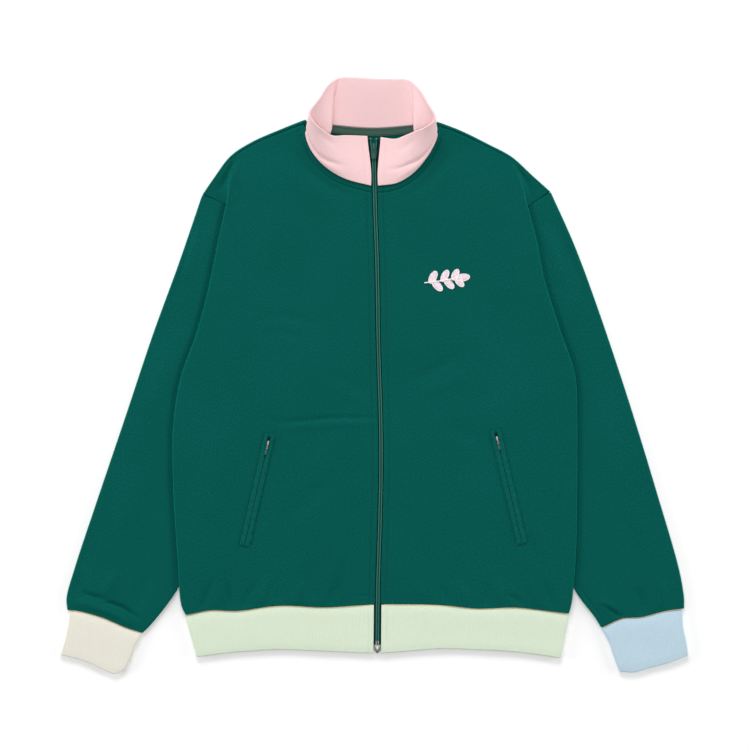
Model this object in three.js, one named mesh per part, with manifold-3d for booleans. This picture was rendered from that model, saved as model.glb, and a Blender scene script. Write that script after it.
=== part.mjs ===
// Track jacket with a zip front, laid flat on a table with its zip closed and its front up.
// Millimetres. +X runs to the wearer's left, +Y towards the collar, +Z up from the table (z = 0).
// Each piece of cloth is a closed wall of its own thickness, made from a grid of points on its
// middle surface. Outlines give x as the distance from the centre line, one list for each side.

import * as THREE from 'three';
import { mergeVertices } from 'three/addons/utils/BufferGeometryUtils.js';
import Module from 'manifold-3d';

const wasm = await Module();
wasm.setup();

// Driving dimensions
const KNIT = 1.4; // wall of the double knit of body and sleeves
const RIB = 2.4; // wall of the collar, cuffs and hem band, which are made double
const TAPE = 0.7; // wall of the zip tapes and the neck tape
const SEAM_GAP = 0.5; // between two pieces at a seam
const LAY_GAP = 0.4; // between two pieces that lie on each other

const BACK_Z = KNIT / 2; // middle surface of the lowest layer
const TUCK_Z = BACK_Z + KNIT + LAY_GAP; // upper layer of a sleeve, where the body lies on it
const FLAP_Z = TUCK_Z + KNIT + LAY_GAP; // part of the front that is turned under at the side
const FRONT_Z = 5.2; // front panels in the middle
const FOLD_Z = 8.3; // front panels along the side fold
const HEM_FOLD_Z = 7.0; // the same fold at the hem
const SHOULDER_Z = 4.3; // both panels along the shoulder seam
const NECK_Z = 4.6; // front panels along the neck seam
const SLEEVE_Z = 5.4; // upper layer of a sleeve where it lies free
const EDGE_Z = 4.3; // the same layer at the sleeve's rolled edges
const BAND_Z = 5.2; // upper layer of the hem band
const CUFF_Z = 4.8; // upper layer of the cuffs

const SEAM_INSET = { neck: 4.2, arm: 2.5 }; // shoulder seam, in front of the shoulder's fold
const SEAM_START = 0.03; // share of the shoulder seam that the collar's seam takes up
const RIDGE_AT = 0.58; // where the side fold's ridge leaves the shoulder, from neck to arm
const ZIP_HALF = 3.5; // from the zip's centre line to the edge of a front
const BAND_HALF = 5; // from the same line to the end of the hem band
const NECK_Y = 248; // neck seam at the zip
const HEM_Y = -302; // hem seam at the zip
const BAND_BOTTOM_Y = -367; // lower edge of the hem band at the zip

const ZIP_BOTTOM_Y = -355.6; // lower end of the coil, at the retainer box
const ZIP_OPEN_Y = 283; // the tapes part from here up
const ZIP_TOP_Y = 309.5; // upper end of the tapes
const ZIP_SPREAD = 4.4; // of each tape from the centre line, at the top
const SLIDER_Y = 291;
const SLIDER_Z = 6.3; // underside of the slider's upper plate
const PULL = { width: 3.6, length: 10.5, thickness: 1, z: 9.1 };

const LIP = { slit: 0.9, gape: 2.6, width: 7.2, wall: 1, lift: KNIT / 2 + LAY_GAP + 0.5 };
const POCKET_SLIDER = { width: 3.8, length: 10, height: 1.2, fromTop: 14 };
const POCKET_PULL = { width: 2.6, length: 10.5, thickness: 0.8 };
const MOTIF = { x: 95, y: 125, tilt: 0.14, spread: 0.95, thickness: 1 };

// Rows and columns of the grids
const NECK_COLS = 6;
const SHOULDER_COLS = 4;
const TURN_COLS = 6; // part of a front beyond its ridge and side fold
const RIDGE_ROWS = 2;
const ARMHOLE_ROWS = 6;
const SIDE_ROWS = 4;
const FOLD_ROWS = ARMHOLE_ROWS + SIDE_ROWS;

const COLOURS = {
  green: '#0a584c',
  tape: '#325f50',
  coil: '#3c6960',
  pink: '#f3cbce',
  mint: '#d8e5cf',
  cream: '#e5e3d7',
  blue: '#bad2e0',
  thread: '#ebdae2',
  metal: '#b9bcbb',
};

// Outlines of the two sides
const RIGHT = {
  name: 'right',
  sign: -1,
  neckline: [[20, 252], [36, 257], [54, 266], [70, 280], [81, 296], [88, 313], [92, 329]],
  shoulderEdge: [[91, 336], [120, 324.5], [162, 306], [189, 288], [211, 259], [226, 237]],
  armTop: [[226, 237], [210, 231.5], [194.5, 224.6]],
  ridge: [[188, 258], [194.5, 224.6]],
  fold: [[194.5, 224.6], [204.5, 178], [219, 108], [234, 53], [254, -3], [263, -57], [265, -94],
    [263, -170], [258, -243], [252, -300], [249, -313]],
  armhole: [[194.5, 224.6], [187, 190], [184, 120], [185, 50], [192, -20]],
  sideSeam: [[192, -20], [197, -100], [206, -200], [224, -307]],
  hem: [[248, -315], [216, -310], [180, -311], [123, -304], [70, -306.5], [24, -304]],
  bandBottom: [[233, -371.5], [199, -367], [163, -364], [128, -362], [93, -363], [27, -366]],
  sleeveOuter: [[226, 237], [258, 144], [290.5, 55], [329, -60], [365, -166.5], [394.5, -255.5],
    [405, -294], [404, -310]],
  sleeveInner: [[192, -20], [206, -80], [222, -150], [240, -220], [256, -275], [294, -328], [306, -340]],
  cuffSeam: [[404, -310], [391, -311], [360, -319], [327, -333], [306, -340]],
  cuffOuter: [[401, -312], [402, -325], [408, -352], [413, -369]],
  cuffBottom: [[413, -369], [384, -376], [357, -388], [342, -394], [330, -389]],
  cuffInner: [[307, -341], [316, -357], [323, -376], [330, -389]],
  pocket: { top: [138, -82], bottom: [170, -222] },
};
const LEFT = {
  name: 'left',
  sign: 1,
  neckline: [[16, 248.5], [29, 252], [47, 262], [61, 276.5], [72, 294], [80.5, 313], [84, 329]],
  shoulderEdge: [[83, 333.5], [115, 321], [149.5, 304], [181, 287], [208, 262.5], [232, 241]],
  armTop: [[232, 241], [217, 232], [201.5, 222]],
  ridge: [[193, 249], [201.5, 222]],
  fold: [[201.5, 222], [215, 170], [223, 128], [245, 57], [264, -1], [267, -60], [267, -130],
    [265, -237], [259, -300], [257, -311]],
  armhole: [[201.5, 222], [192, 186], [188, 120], [189, 50], [195, -20]],
  sideSeam: [[195, -20], [200, -100], [210, -200], [228, -305]],
  hem: [[256, -313], [216, -309.5], [187, -306.6], [135, -308], [85, -303], [32, -302]],
  bandBottom: [[245, -373], [204, -367], [166, -363.6], [130, -362], [85, -361], [41, -364.5]],
  sleeveOuter: [[232, 241], [263, 172], [293.5, 90], [334, -31], [370, -148], [402, -259],
    [408, -295], [408, -308]],
  sleeveInner: [[195, -20], [209, -80], [226, -150], [246, -225], [264, -281], [292, -320], [300, -333]],
  cuffSeam: [[408, -308], [384, -311], [352, -319], [327, -321], [300, -333]],
  cuffOuter: [[405, -310], [406, -330], [411, -355], [413, -370]],
  cuffBottom: [[413, -370], [390, -379], [363, -386], [342, -392], [325, -391]],
  cuffInner: [[301, -334], [310, -350], [317, -370], [325, -391]],
  pocket: { top: [160, -76], bottom: [194, -219] },
};
const SIDES = [RIGHT, LEFT];

const ZIP_LINE = [[-1, 314], [0, 270], [1.4, 216], [4, 140], [5.5, 45], [8.6, -62], [9, -120],
  [7.6, -194], [5, -280], [4, -370]];
const BACK_NECK = [[-91, 335], [-57, 329], [-2, 324.5], [52, 328.5], [83, 333]];

// Collar stations from the wearer's right front edge, round the back, to the left front edge.
// Each gives a point of the neck seam, a point of the rim, and how far the wall bows between them,
// which it does most at a third of its height.
const COLLAR = [
  { seam: [-4, 249, 6.8], rim: [-9, 314.5, 8.5], bow: [0, 0, 1] },
  { seam: [-36, 257.5, 6.8], rim: [-38, 315, 13], bow: [0, 0, 2] },
  { seam: [-54, 267, 6.4], rim: [-54, 314, 19], bow: [0, 0, 3] },
  { seam: [-70, 281, 6.1], rim: [-66, 320, 26], bow: [-1, -3, 2] },
  { seam: [-81, 297, 6.0], rim: [-77, 329, 31], bow: [-2, -2, 0] },
  { seam: [-87.5, 316, 5.9], rim: [-84, 342, 33], bow: [-2, 0, 0] },
  { seam: [-86, 331, 5.7], rim: [-71, 362, 31], bow: [6, -18, 0] },
  { seam: [-74, 334, 4], rim: [-60, 380, 24], bow: [10, -31, 0] },
  { seam: [-58, 330.4, 1.6], rim: [-46, 391, 8], bow: [0, -3, 0] },
  { seam: [-30, 327.3, 1.3], rim: [-24, 392, 4], bow: [0, 0, 0] },
  { seam: [-2, 325.7, 1.3], rim: [-1, 390.5, 3.5], bow: [0, 0, 0] },
  { seam: [26, 327.1, 1.3], rim: [22, 390, 4], bow: [0, 0, 0] },
  { seam: [53, 329.8, 1.6], rim: [43, 388.5, 8], bow: [0, -3, 0] },
  { seam: [67, 333, 4], rim: [57, 377, 22], bow: [-9, -29, 0] },
  { seam: [79, 330, 5.7], rim: [69, 357, 29], bow: [-6, -17, 0] },
  { seam: [80.5, 315, 5.9], rim: [79, 335, 31], bow: [2, 0, 0] },
  { seam: [72, 294, 6.0], rim: [66, 324, 28], bow: [2, -2, 0] },
  { seam: [61, 277, 6.1], rim: [53, 319, 24], bow: [1, -3, 2] },
  { seam: [47, 262.5, 6.4], rim: [42, 315, 18], bow: [0, 0, 3] },
  { seam: [29, 252.5, 6.8], rim: [28, 310.5, 12], bow: [0, 0, 2] },
  { seam: [5, 249, 6.8], rim: [8.5, 313, 8.5], bow: [0, 0, 1] },
];

const object = new THREE.Group();

function add(name, geometry, colour, roughness = 0.9, metalness = 0) {
  const material = new THREE.MeshStandardMaterial({ color: COLOURS[colour], roughness, metalness });
  const mesh = new THREE.Mesh(geometry, material);
  mesh.name = name;
  object.add(mesh);
  return mesh;
}

// Curves and patches

const point = ([x, y, z = 0]) => new THREE.Vector3(x, y, z);
const mix = (a, b, t) => a + (b - a) * t;

function smooth(t) {
  const c = Math.min(1, Math.max(0, t));
  return c * c * (3 - 2 * c);
}

// A smooth curve through points, as a function of 0 to 1 along its length.
function curve(points) {
  const path = new THREE.CatmullRomCurve3(points.map(point), false, 'centripetal');
  return (t) => path.getPointAt(Math.min(1, Math.max(0, t)));
}

const sideCurve = (side, points) => curve(points.map(([x, y]) => [side.sign * x, y]));
const reversed = (along) => (t) => along(1 - t);

// Several curves end to end, each taking its share of the steps.
function chain(curves, steps) {
  const total = steps.reduce((sum, n) => sum + n, 0);
  return (t) => {
    let left = t * total;
    let k = 0;
    while (k < curves.length - 1 && left > steps[k] + 1e-9) {
      left -= steps[k];
      k += 1;
    }
    return curves[k](left / steps[k]);
  };
}

// A surface between four edges: u runs along top and bottom, v along left and right.
function patch(top, bottom, left, right) {
  return (u, v) => {
    const p = new THREE.Vector3();
    p.addScaledVector(top(u), 1 - v).addScaledVector(bottom(u), v);
    p.addScaledVector(left(v), 1 - u).addScaledVector(right(v), u);
    p.addScaledVector(top(0), -(1 - u) * (1 - v)).addScaledVector(top(1), -u * (1 - v));
    p.addScaledVector(bottom(0), -(1 - u) * v).addScaledVector(bottom(1), -u * v);
    return p;
  };
}

// x of a curve that runs down the jacket, at a given y.
function xAt(along, y) {
  let low = 0;
  let high = 1;
  for (let i = 0; i < 30; i += 1) {
    const middle = (low + high) / 2;
    if (along(middle).y > y) low = middle;
    else high = middle;
  }
  return along(low).x;
}

// The direction to the right of a curve's travel, in the plane of the table.
function rightOf(along, t) {
  const step = along(Math.min(1, t + 0.01)).sub(along(Math.max(0, t - 0.01)));
  return new THREE.Vector3(step.y, -step.x, 0).normalize();
}

// Solids

// A closed mesh from points and faces, turned so that its faces point out.
function solid(points, faces) {
  let volume = 0;
  for (const [a, b, c] of faces) {
    volume += points[a].dot(points[b].clone().cross(points[c]));
  }
  const out = volume > 0 ? faces : faces.map(([a, b, c]) => [a, c, b]);
  const geometry = new THREE.BufferGeometry();
  geometry.setAttribute('position', new THREE.Float32BufferAttribute(points.flatMap((p) => p.toArray()), 3));
  geometry.setIndex(out.flat());
  geometry.computeVertexNormals();
  return geometry;
}

// A wall of even thickness about a grid of points. A ring's rows close on themselves.
function wall(rows, thickness, ring = false) {
  const height = rows.length;
  const width = rows[0].length;
  const column = (j) => (ring ? (j + width) % width : Math.min(width - 1, Math.max(0, j)));
  const points = [];
  rows.forEach((row, i) => row.forEach((p, j) => {
    const across = row[column(j + 1)].clone().sub(row[column(j - 1)]);
    const down = rows[Math.min(height - 1, i + 1)][j].clone().sub(rows[Math.max(0, i - 1)][j]);
    const normal = across.cross(down).normalize();
    points.push(p.clone().addScaledVector(normal, thickness / 2));
    points.push(p.clone().addScaledVector(normal, -thickness / 2));
  }));
  const index = (i, j, under) => 2 * (i * width + column(j)) + under;
  const faces = [];
  const quad = (a, b, c, d) => faces.push([a, b, c], [a, c, d]);
  const last = ring ? width : width - 1;
  for (let i = 0; i < height - 1; i += 1) {
    for (let j = 0; j < last; j += 1) {
      quad(index(i, j, 0), index(i, j + 1, 0), index(i + 1, j + 1, 0), index(i + 1, j, 0));
      quad(index(i, j, 1), index(i + 1, j, 1), index(i + 1, j + 1, 1), index(i, j + 1, 1));
    }
  }
  for (let j = 0; j < last; j += 1) {
    quad(index(0, j, 0), index(0, j, 1), index(0, j + 1, 1), index(0, j + 1, 0));
    const end = height - 1;
    quad(index(end, j, 0), index(end, j + 1, 0), index(end, j + 1, 1), index(end, j, 1));
  }
  if (!ring) {
    for (let i = 0; i < height - 1; i += 1) {
      quad(index(i, 0, 0), index(i + 1, 0, 0), index(i + 1, 0, 1), index(i, 0, 1));
      quad(index(i, last, 0), index(i, last, 1), index(i + 1, last, 1), index(i + 1, last, 0));
    }
  }
  return solid(points, faces);
}

// A closed bar from cross-sections that all have the same number of points, in order round them.
function bar(sections) {
  const round = sections[0].length;
  const points = sections.flat();
  const faces = [];
  for (let i = 0; i < sections.length - 1; i += 1) {
    for (let j = 0; j < round; j += 1) {
      const k = (j + 1) % round;
      faces.push([i * round + j, i * round + k, (i + 1) * round + k]);
      faces.push([i * round + j, (i + 1) * round + k, (i + 1) * round + j]);
    }
  }
  const end = (sections.length - 1) * round;
  const cap = THREE.ShapeUtils.triangulateShape(sections[0].map((p) => new THREE.Vector2(p.x, p.z)), []);
  for (const [a, b, c] of cap) {
    faces.push([a, c, b]);
    faces.push([end + a, end + b, end + c]);
  }
  return solid(points, faces);
}

// A three.js geometry as a manifold solid, and back.
function toManifold(geometry) {
  const bare = geometry.clone();
  bare.deleteAttribute('normal');
  bare.deleteAttribute('uv');
  const merged = mergeVertices(bare, 1e-4);
  return new wasm.Manifold(new wasm.Mesh({
    numProp: 3,
    vertProperties: new Float32Array(merged.attributes.position.array),
    triVerts: new Uint32Array(merged.index.array),
  }));
}

function fromManifold(body) {
  const mesh = body.getMesh();
  const geometry = new THREE.BufferGeometry();
  geometry.setAttribute('position', new THREE.BufferAttribute(new Float32Array(mesh.vertProperties), 3));
  geometry.setIndex(new THREE.BufferAttribute(new Uint32Array(mesh.triVerts), 1));
  geometry.computeVertexNormals();
  return geometry;
}

const joined = (geometries) => fromManifold(geometries.map(toManifold).reduce((a, b) => a.add(b)));

function box(sizeX, sizeY, sizeZ, x, y, z) {
  return new THREE.BoxGeometry(sizeX, sizeY, sizeZ).translate(x, y, z);
}

// A flat plate with the outline of a shape, from z = low upwards.
function plate(outline, thickness, low) {
  const shape = new THREE.Shape(outline.map(([x, y]) => new THREE.Vector2(x, y)));
  const options = { depth: thickness, bevelEnabled: false, curveSegments: 6 };
  return new THREE.ExtrudeGeometry(shape, options).translate(0, 0, low);
}

// Height of a panel's middle surface above a place on the table.
function heightOn(rows, x, y) {
  const triangle = new THREE.Triangle();
  const weights = new THREE.Vector3();
  const place = new THREE.Vector3(x, y, 0);
  const flat = (p) => new THREE.Vector3(p.x, p.y, 0);
  for (let i = 0; i < rows.length - 1; i += 1) {
    for (let j = 0; j < rows[0].length - 1; j += 1) {
      const corners = [rows[i][j], rows[i][j + 1], rows[i + 1][j + 1], rows[i + 1][j]];
      for (const [a, b, c] of [[0, 1, 2], [0, 2, 3]]) {
        triangle.set(flat(corners[a]), flat(corners[b]), flat(corners[c]));
        triangle.getBarycoord(place, weights);
        if (Math.min(weights.x, weights.y, weights.z) > -1e-6) {
          return weights.x * corners[a].z + weights.y * corners[b].z + weights.z * corners[c].z;
        }
      }
    }
  }
  throw new Error(`no cloth at ${x}, ${y}`);
}

// The shoulder seam runs along the shoulder's fold, a few millimetres in front of it.
function shoulderSeam(side) {
  const edge = sideCurve(side, side.shoulderEdge);
  return (t) => {
    const inset = mix(SEAM_INSET.neck, SEAM_INSET.arm, smooth(t / 0.5));
    return edge(t).addScaledVector(rightOf(edge, t), -side.sign * -inset);
  };
}

const partOf = (along, from, to) => (t) => along(mix(from, to, t));

// Front panels

const zipLine = curve(ZIP_LINE);
const zipEdgeX = (side, y) => xAt(zipLine, y) + side.sign * ZIP_HALF;

// The middle surface of a front: main columns from the zip to the side fold, then the columns
// that lie beyond the ridge at the shoulder and are turned under along the side fold.
function frontRows(side) {
  const hemLift = SEAM_GAP / 2;
  const zipEdge = (v) => {
    const y = mix(NECK_Y, HEM_Y, v);
    return point([zipEdgeX(side, y), y]);
  };
  const neck = sideCurve(side, [[side.sign * zipEdgeX(side, NECK_Y), NECK_Y], ...side.neckline]);
  const seam = shoulderSeam(side);
  const top = chain([neck, partOf(seam, SEAM_START, RIDGE_AT)], [NECK_COLS, SHOULDER_COLS]);
  const ridgeStart = seam(RIDGE_AT);
  const ridgeLine = sideCurve(side, [[side.sign * ridgeStart.x, ridgeStart.y], ...side.ridge]);
  const fold = chain([ridgeLine, sideCurve(side, side.fold)], [RIDGE_ROWS, FOLD_ROWS]);
  const hemPoints = [...side.hem, [side.sign * zipEdgeX(side, HEM_Y), HEM_Y]];
  hemPoints[0] = side.fold.at(-1);
  const hem = reversed(sideCurve(side, hemPoints));
  const main = patch(top, hem, zipEdge, fold);
  const tuckStart = side.armTop.at(-1);
  const seamTop = sideCurve(side, [...side.armTop.slice(0, 2), [tuckStart[0] - 5, tuckStart[1] - 3]]);
  const hidden = sideCurve(side, [[tuckStart[0] - 5, tuckStart[1] - 3], ...side.armhole.slice(1),
    ...side.sideSeam.slice(1)]);
  const outer = chain([seamTop, hidden], [RIDGE_ROWS, FOLD_ROWS]);
  const shoulderEnd = partOf(seam, RIDGE_AT, 0.985);
  const mainCols = NECK_COLS + SHOULDER_COLS;
  const height = RIDGE_ROWS + FOLD_ROWS;
  const rows = [];
  for (let i = 0; i <= height; i += 1) {
    const v = i / height;
    const settled = smooth(i / RIDGE_ROWS);
    const foldZ = mix(FOLD_Z, HEM_FOLD_Z, smooth((v - 0.9) / 0.1));
    const row = [];
    for (let j = 0; j <= mainCols; j += 1) {
      const u = j / mainCols;
      const p = main(u, v);
      const edgeZ = mix(NECK_Z, SHOULDER_Z, smooth((j - NECK_COLS) / 2));
      const innerZ = mix(FRONT_Z, foldZ, smooth((u - 0.6) / 0.4));
      p.z = mix(edgeZ, innerZ, settled);
      p.y += i === height ? hemLift : 0;
      row.push(p);
    }
    const ridge = row[mainCols];
    const radius = Math.max(0.9, (ridge.z - FLAP_Z) / 2);
    const outward = rightOf(fold, v).multiplyScalar(-side.sign);
    if (i >= RIDGE_ROWS) {
      ridge.addScaledVector(outward, -radius);
    }
    const edge = i === 0 ? shoulderEnd(1) : outer(v);
    for (let k = 1; k <= TURN_COLS; k += 1) {
      const share = k / TURN_COLS;
      const open = i === 0 ? shoulderEnd(share) : ridge.clone().lerp(edge, share);
      open.z = mix(ridge.z, FLAP_Z + 0.1, smooth(k / 4));
      const turn = Math.min(k, 4) * Math.PI / 4;
      const curled = ridge.clone().addScaledVector(outward, radius * Math.sin(turn));
      curled.z = ridge.z - radius + radius * Math.cos(turn);
      if (k > 4) {
        curled.x = mix(ridge.x, edge.x, (k - 4) / 2);
        curled.y = mix(ridge.y, edge.y, (k - 4) / 2);
      }
      row.push(i < RIDGE_ROWS ? open : curled);
    }
    rows.push(row);
  }
  return rows;
}

// Back panel

// Its shoulder edges roll over the shoulder fold to the front and end at the shoulder seam.
function backRows() {
  const radius = (SHOULDER_Z - BACK_Z) / 2;
  const columns = SHOULDER_COLS + TURN_COLS;
  const neckCols = 6;
  const shoulderOf = (side) => {
    const edge = sideCurve(side, side.shoulderEdge);
    return chain([partOf(edge, 0, RIDGE_AT), partOf(edge, RIDGE_AT, 1)], [SHOULDER_COLS, TURN_COLS]);
  };
  const seamOf = (side) => {
    const seam = shoulderSeam(side);
    return chain([partOf(seam, 0, RIDGE_AT), partOf(seam, RIDGE_AT, 1)], [SHOULDER_COLS, TURN_COLS]);
  };
  const sideEdge = (side) => chain(
    [sideCurve(side, side.armTop), sideCurve(side, side.armhole), sideCurve(side, side.sideSeam)],
    [RIDGE_ROWS, ARMHOLE_ROWS, SIDE_ROWS],
  );
  const top = chain(
    [reversed(shoulderOf(RIGHT)), curve(BACK_NECK), shoulderOf(LEFT)],
    [columns, neckCols, columns],
  );
  const hem = curve([[-224, -305], [-120, -304], [0, -303], [120, -304], [228, -305]]);
  const main = patch(top, hem, sideEdge(RIGHT), sideEdge(LEFT));
  const across = 2 * columns + neckCols;
  const down = RIDGE_ROWS + FOLD_ROWS;
  const rows = Array.from({ length: 6 + down }, () => []);
  for (let j = 0; j <= across; j += 1) {
    const u = j / across;
    const edge = main(u, 0);
    const outward = rightOf(top, u).negate();
    const onNeck = j > columns && j < columns + neckCols;
    const fromNeck = (Math.abs(j - across / 2) - neckCols / 2) / columns;
    const side = j < across / 2 ? RIGHT : LEFT;
    const seam = seamOf(side)(Math.max(0, fromNeck)).addScaledVector(outward, SEAM_GAP);
    for (let k = 0; k <= 4; k += 1) {
      const turn = (4 - k) * Math.PI / 4;
      const rolled = edge.clone().addScaledVector(outward, radius * (Math.sin(turn) - 1));
      rolled.z = BACK_Z + radius - radius * Math.cos(turn);
      const flat = edge.clone().addScaledVector(outward, -k - 1);
      flat.z = BACK_Z;
      rows[k + 1].push(onNeck ? flat : rolled);
    }
    seam.z = SHOULDER_Z;
    edge.z = BACK_Z;
    rows[0].push(onNeck ? edge : seam);
    for (let i = 1; i <= down; i += 1) {
      const p = main(u, i / down);
      p.z = BACK_Z;
      rows[5 + i].push(p);
    }
  }
  return rows;
}

// Sleeves and cuffs

// One turn round a flattened tube: upper layer, rolled edge, lower layer, rolled edge.
function tubeTurn(across, upperZ, lowerZ, columns) {
  const turn = [];
  const edges = [{ at: 0, next: 0.02 }, { at: 1, next: 0.98 }];
  const inward = edges.map(({ at, next }) => across(next).sub(across(at)).setZ(0).normalize());
  const radius = edges.map(({ at }) => (upperZ(at) - lowerZ) / 2);
  const layer = (j, z) => {
    const w = j / columns;
    const p = across(w);
    if (j === 0) p.addScaledVector(inward[0], radius[0]);
    if (j === columns) p.addScaledVector(inward[1], radius[1]);
    p.z = z(w);
    return p;
  };
  const roll = (side, k) => {
    const angle = k * Math.PI / 4;
    const r = radius[side];
    const p = across(edges[side].at).addScaledVector(inward[side], r * (1 - Math.sin(angle)));
    p.z = lowerZ + r + r * Math.cos(angle) * (side === 1 ? 1 : -1);
    return p;
  };
  for (let j = 0; j <= columns; j += 1) turn.push(layer(j, upperZ));
  for (let k = 1; k <= 3; k += 1) turn.push(roll(1, k));
  for (let j = columns; j >= 0; j -= 1) turn.push(layer(j, () => lowerZ));
  for (let k = 1; k <= 3; k += 1) turn.push(roll(0, k));
  return turn;
}

function sleeveRows(side) {
  const steps = 11;
  const columns = RIDGE_ROWS + ARMHOLE_ROWS;
  const shift = new THREE.Vector3(side.sign * SEAM_GAP * 0.7, -SEAM_GAP, 0);
  const seam = chain(
    [sideCurve(side, side.armTop), sideCurve(side, side.armhole)],
    [RIDGE_ROWS, ARMHOLE_ROWS],
  );
  const armhole = (w) => seam(w).add(shift).addScaledVector(shift, w ** 8 * 3);
  const from = (p, points) => sideCurve(side, [[side.sign * p.x, p.y], ...points.slice(1)]);
  const cuffLine = sideCurve(side, side.cuffSeam);
  const outer = from(armhole(0), side.sleeveOuter);
  const inner = from(armhole(1), side.sleeveInner);
  const main = patch(armhole, cuffLine, outer, inner);
  const fold = sideCurve(side, side.fold);
  const foldTop = side.fold[0][1];
  const foldEnd = side.fold.at(-1)[1];
  const rows = [];
  for (let i = 0; i <= steps; i += 1) {
    const s = i / steps;
    const upperZ = (w) => {
      const p = main(w, s);
      const foldX = xAt(fold, Math.min(foldTop, Math.max(foldEnd, p.y)));
      const clear = side.sign * (p.x - foldX);
      const free = mix(EDGE_Z, SLEEVE_Z, Math.min(smooth(w / 0.25), smooth((1 - w) / 0.25)));
      return mix(TUCK_Z, free, smooth((clear - 8) / 30));
    };
    rows.push(tubeTurn((w) => main(w, s), upperZ, BACK_Z, columns));
  }
  return rows;
}

function cuffRows(side) {
  const steps = 2;
  const belowSeam = side.cuffSeam.slice(1, -1).map(([x, y]) => [x - 0.3, y - 1]);
  const top = [side.cuffOuter[0], ...belowSeam, side.cuffInner[0]];
  const main = patch(
    sideCurve(side, top),
    sideCurve(side, side.cuffBottom),
    sideCurve(side, side.cuffOuter),
    sideCurve(side, side.cuffInner),
  );
  const rows = [];
  for (let i = 0; i <= steps; i += 1) {
    rows.push(tubeTurn((w) => main(w, i / steps), () => CUFF_Z, RIB / 2, 8));
  }
  return rows;
}

// Hem band

// One band from front edge to front edge, folded at both sides of the body.
function bandRows() {
  const steps = 2;
  const radius = (BAND_Z - RIB / 2) / 2;
  const frontCols = 8;
  const backCols = 14;
  const seamDrop = 1;
  const line = (side, points, y) => {
    const end = side.sign * xAt(zipLine, y) + BAND_HALF;
    return sideCurve(side, [...points, [end, y]]);
  };
  const topLine = (side) => {
    const lowered = side.hem.map(([x, y]) => [x, y - seamDrop]);
    lowered[0][1] -= 1;
    return line(side, lowered, HEM_Y - seamDrop);
  };
  const bottomLine = (side) => line(side, side.bandBottom, BAND_BOTTOM_Y);
  const rows = [];
  for (let i = 0; i <= steps; i += 1) {
    const v = i / steps;
    const edgeOf = (side) => (t) => topLine(side)(t).lerp(bottomLine(side)(t), v);
    const corner = { right: edgeOf(RIGHT)(0), left: edgeOf(LEFT)(0) };
    const row = [];
    const front = (side, t) => {
      const p = edgeOf(side)(t);
      if (t === 0) p.x -= side.sign * radius;
      p.z = BAND_Z;
      return p;
    };
    const fold = (side, angle) => {
      const p = corner[side.name].clone();
      p.x -= side.sign * radius * (1 - Math.sin(angle));
      p.z = RIB / 2 + radius + radius * Math.cos(angle);
      return p;
    };
    for (let j = 0; j <= frontCols; j += 1) row.push(front(RIGHT, 1 - j / frontCols));
    for (let k = 1; k <= 3; k += 1) row.push(fold(RIGHT, k * Math.PI / 4));
    for (let j = 0; j <= backCols; j += 1) {
      const t = j / backCols;
      const x = mix(corner.right.x + radius, corner.left.x - radius, t);
      const topY = -307 - 6 * (2 * t - 1) ** 2;
      const bottomY = -360 - 11 * (2 * t - 1) ** 8;
      row.push(point([x, mix(topY, bottomY, v), RIB / 2]));
    }
    for (let k = 3; k >= 1; k -= 1) row.push(fold(LEFT, k * Math.PI / 4));
    for (let j = 0; j <= frontCols; j += 1) row.push(front(LEFT, j / frontCols));
    rows.push(row);
  }
  return rows;
}

// Collar and neck tape

function collarRows() {
  const columns = 40;
  const steps = 4;
  const stations = COLLAR.length - 1;
  const through = (key) => {
    const points = COLLAR.map((station) => point(station[key]));
    const path = new THREE.CatmullRomCurve3(points, false, 'centripetal');
    return (t) => path.getPoint(t);
  };
  const [low, high] = [through('seam'), through('rim')];
  const bow = (t) => {
    const k = Math.min(stations - 1, Math.floor(t * stations));
    return point(COLLAR[k].bow).lerp(point(COLLAR[k + 1].bow), t * stations - k);
  };
  const rows = [];
  for (let i = 0; i <= steps; i += 1) {
    const h = i / steps;
    const row = [];
    for (let j = 0; j <= columns; j += 1) {
      const t = j / columns;
      row.push(low(t).lerp(high(t), h).addScaledVector(bow(t), 6.75 * h * (1 - h) ** 2));
    }
    rows.push(row);
  }
  return rows;
}

function neckTapeRows() {
  const reach = 64;
  const tapeZ = KNIT + LAY_GAP + TAPE / 2;
  const edge = curve(BACK_NECK);
  const rows = [[], []];
  for (let j = 0; j <= 12; j += 1) {
    const p = edge(mix(0.15, 0.87, j / 12));
    p.x = Math.max(-reach, Math.min(reach - 6, p.x));
    rows[0].push(point([p.x, p.y - 0.6, tapeZ]));
    rows[1].push(point([p.x, p.y - 9.6, tapeZ]));
  }
  return rows;
}

// Zip

// One tape of the main zip with its half of the coil standing on its inner edge.
function zipTape(side) {
  const low = NECK_Z - KNIT / 2 - 0.3 - TAPE;
  const width = 12;
  const coil = { inner: 0.2, outer: 2.5, top: 5.9 };
  const profile = [
    [coil.inner, low], [width, low], [width, low + TAPE],
    [coil.outer, low + TAPE], [coil.outer, coil.top], [coil.inner, coil.top],
  ];
  const outline = side.sign > 0 ? profile : profile.toReversed();
  const sections = [];
  const openRows = 4;
  const closedRows = 12;
  for (let i = 0; i <= closedRows + openRows; i += 1) {
    const y = i < closedRows
      ? mix(ZIP_BOTTOM_Y, ZIP_OPEN_Y, i / closedRows)
      : mix(ZIP_OPEN_Y, ZIP_TOP_Y, (i - closedRows) / openRows);
    const apart = ZIP_SPREAD * smooth((y - ZIP_OPEN_Y) / 26);
    const centre = xAt(zipLine, y);
    sections.push(outline.map(([x, z]) => point([centre + side.sign * (x + apart), y, z])));
  }
  return bar(sections);
}

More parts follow.
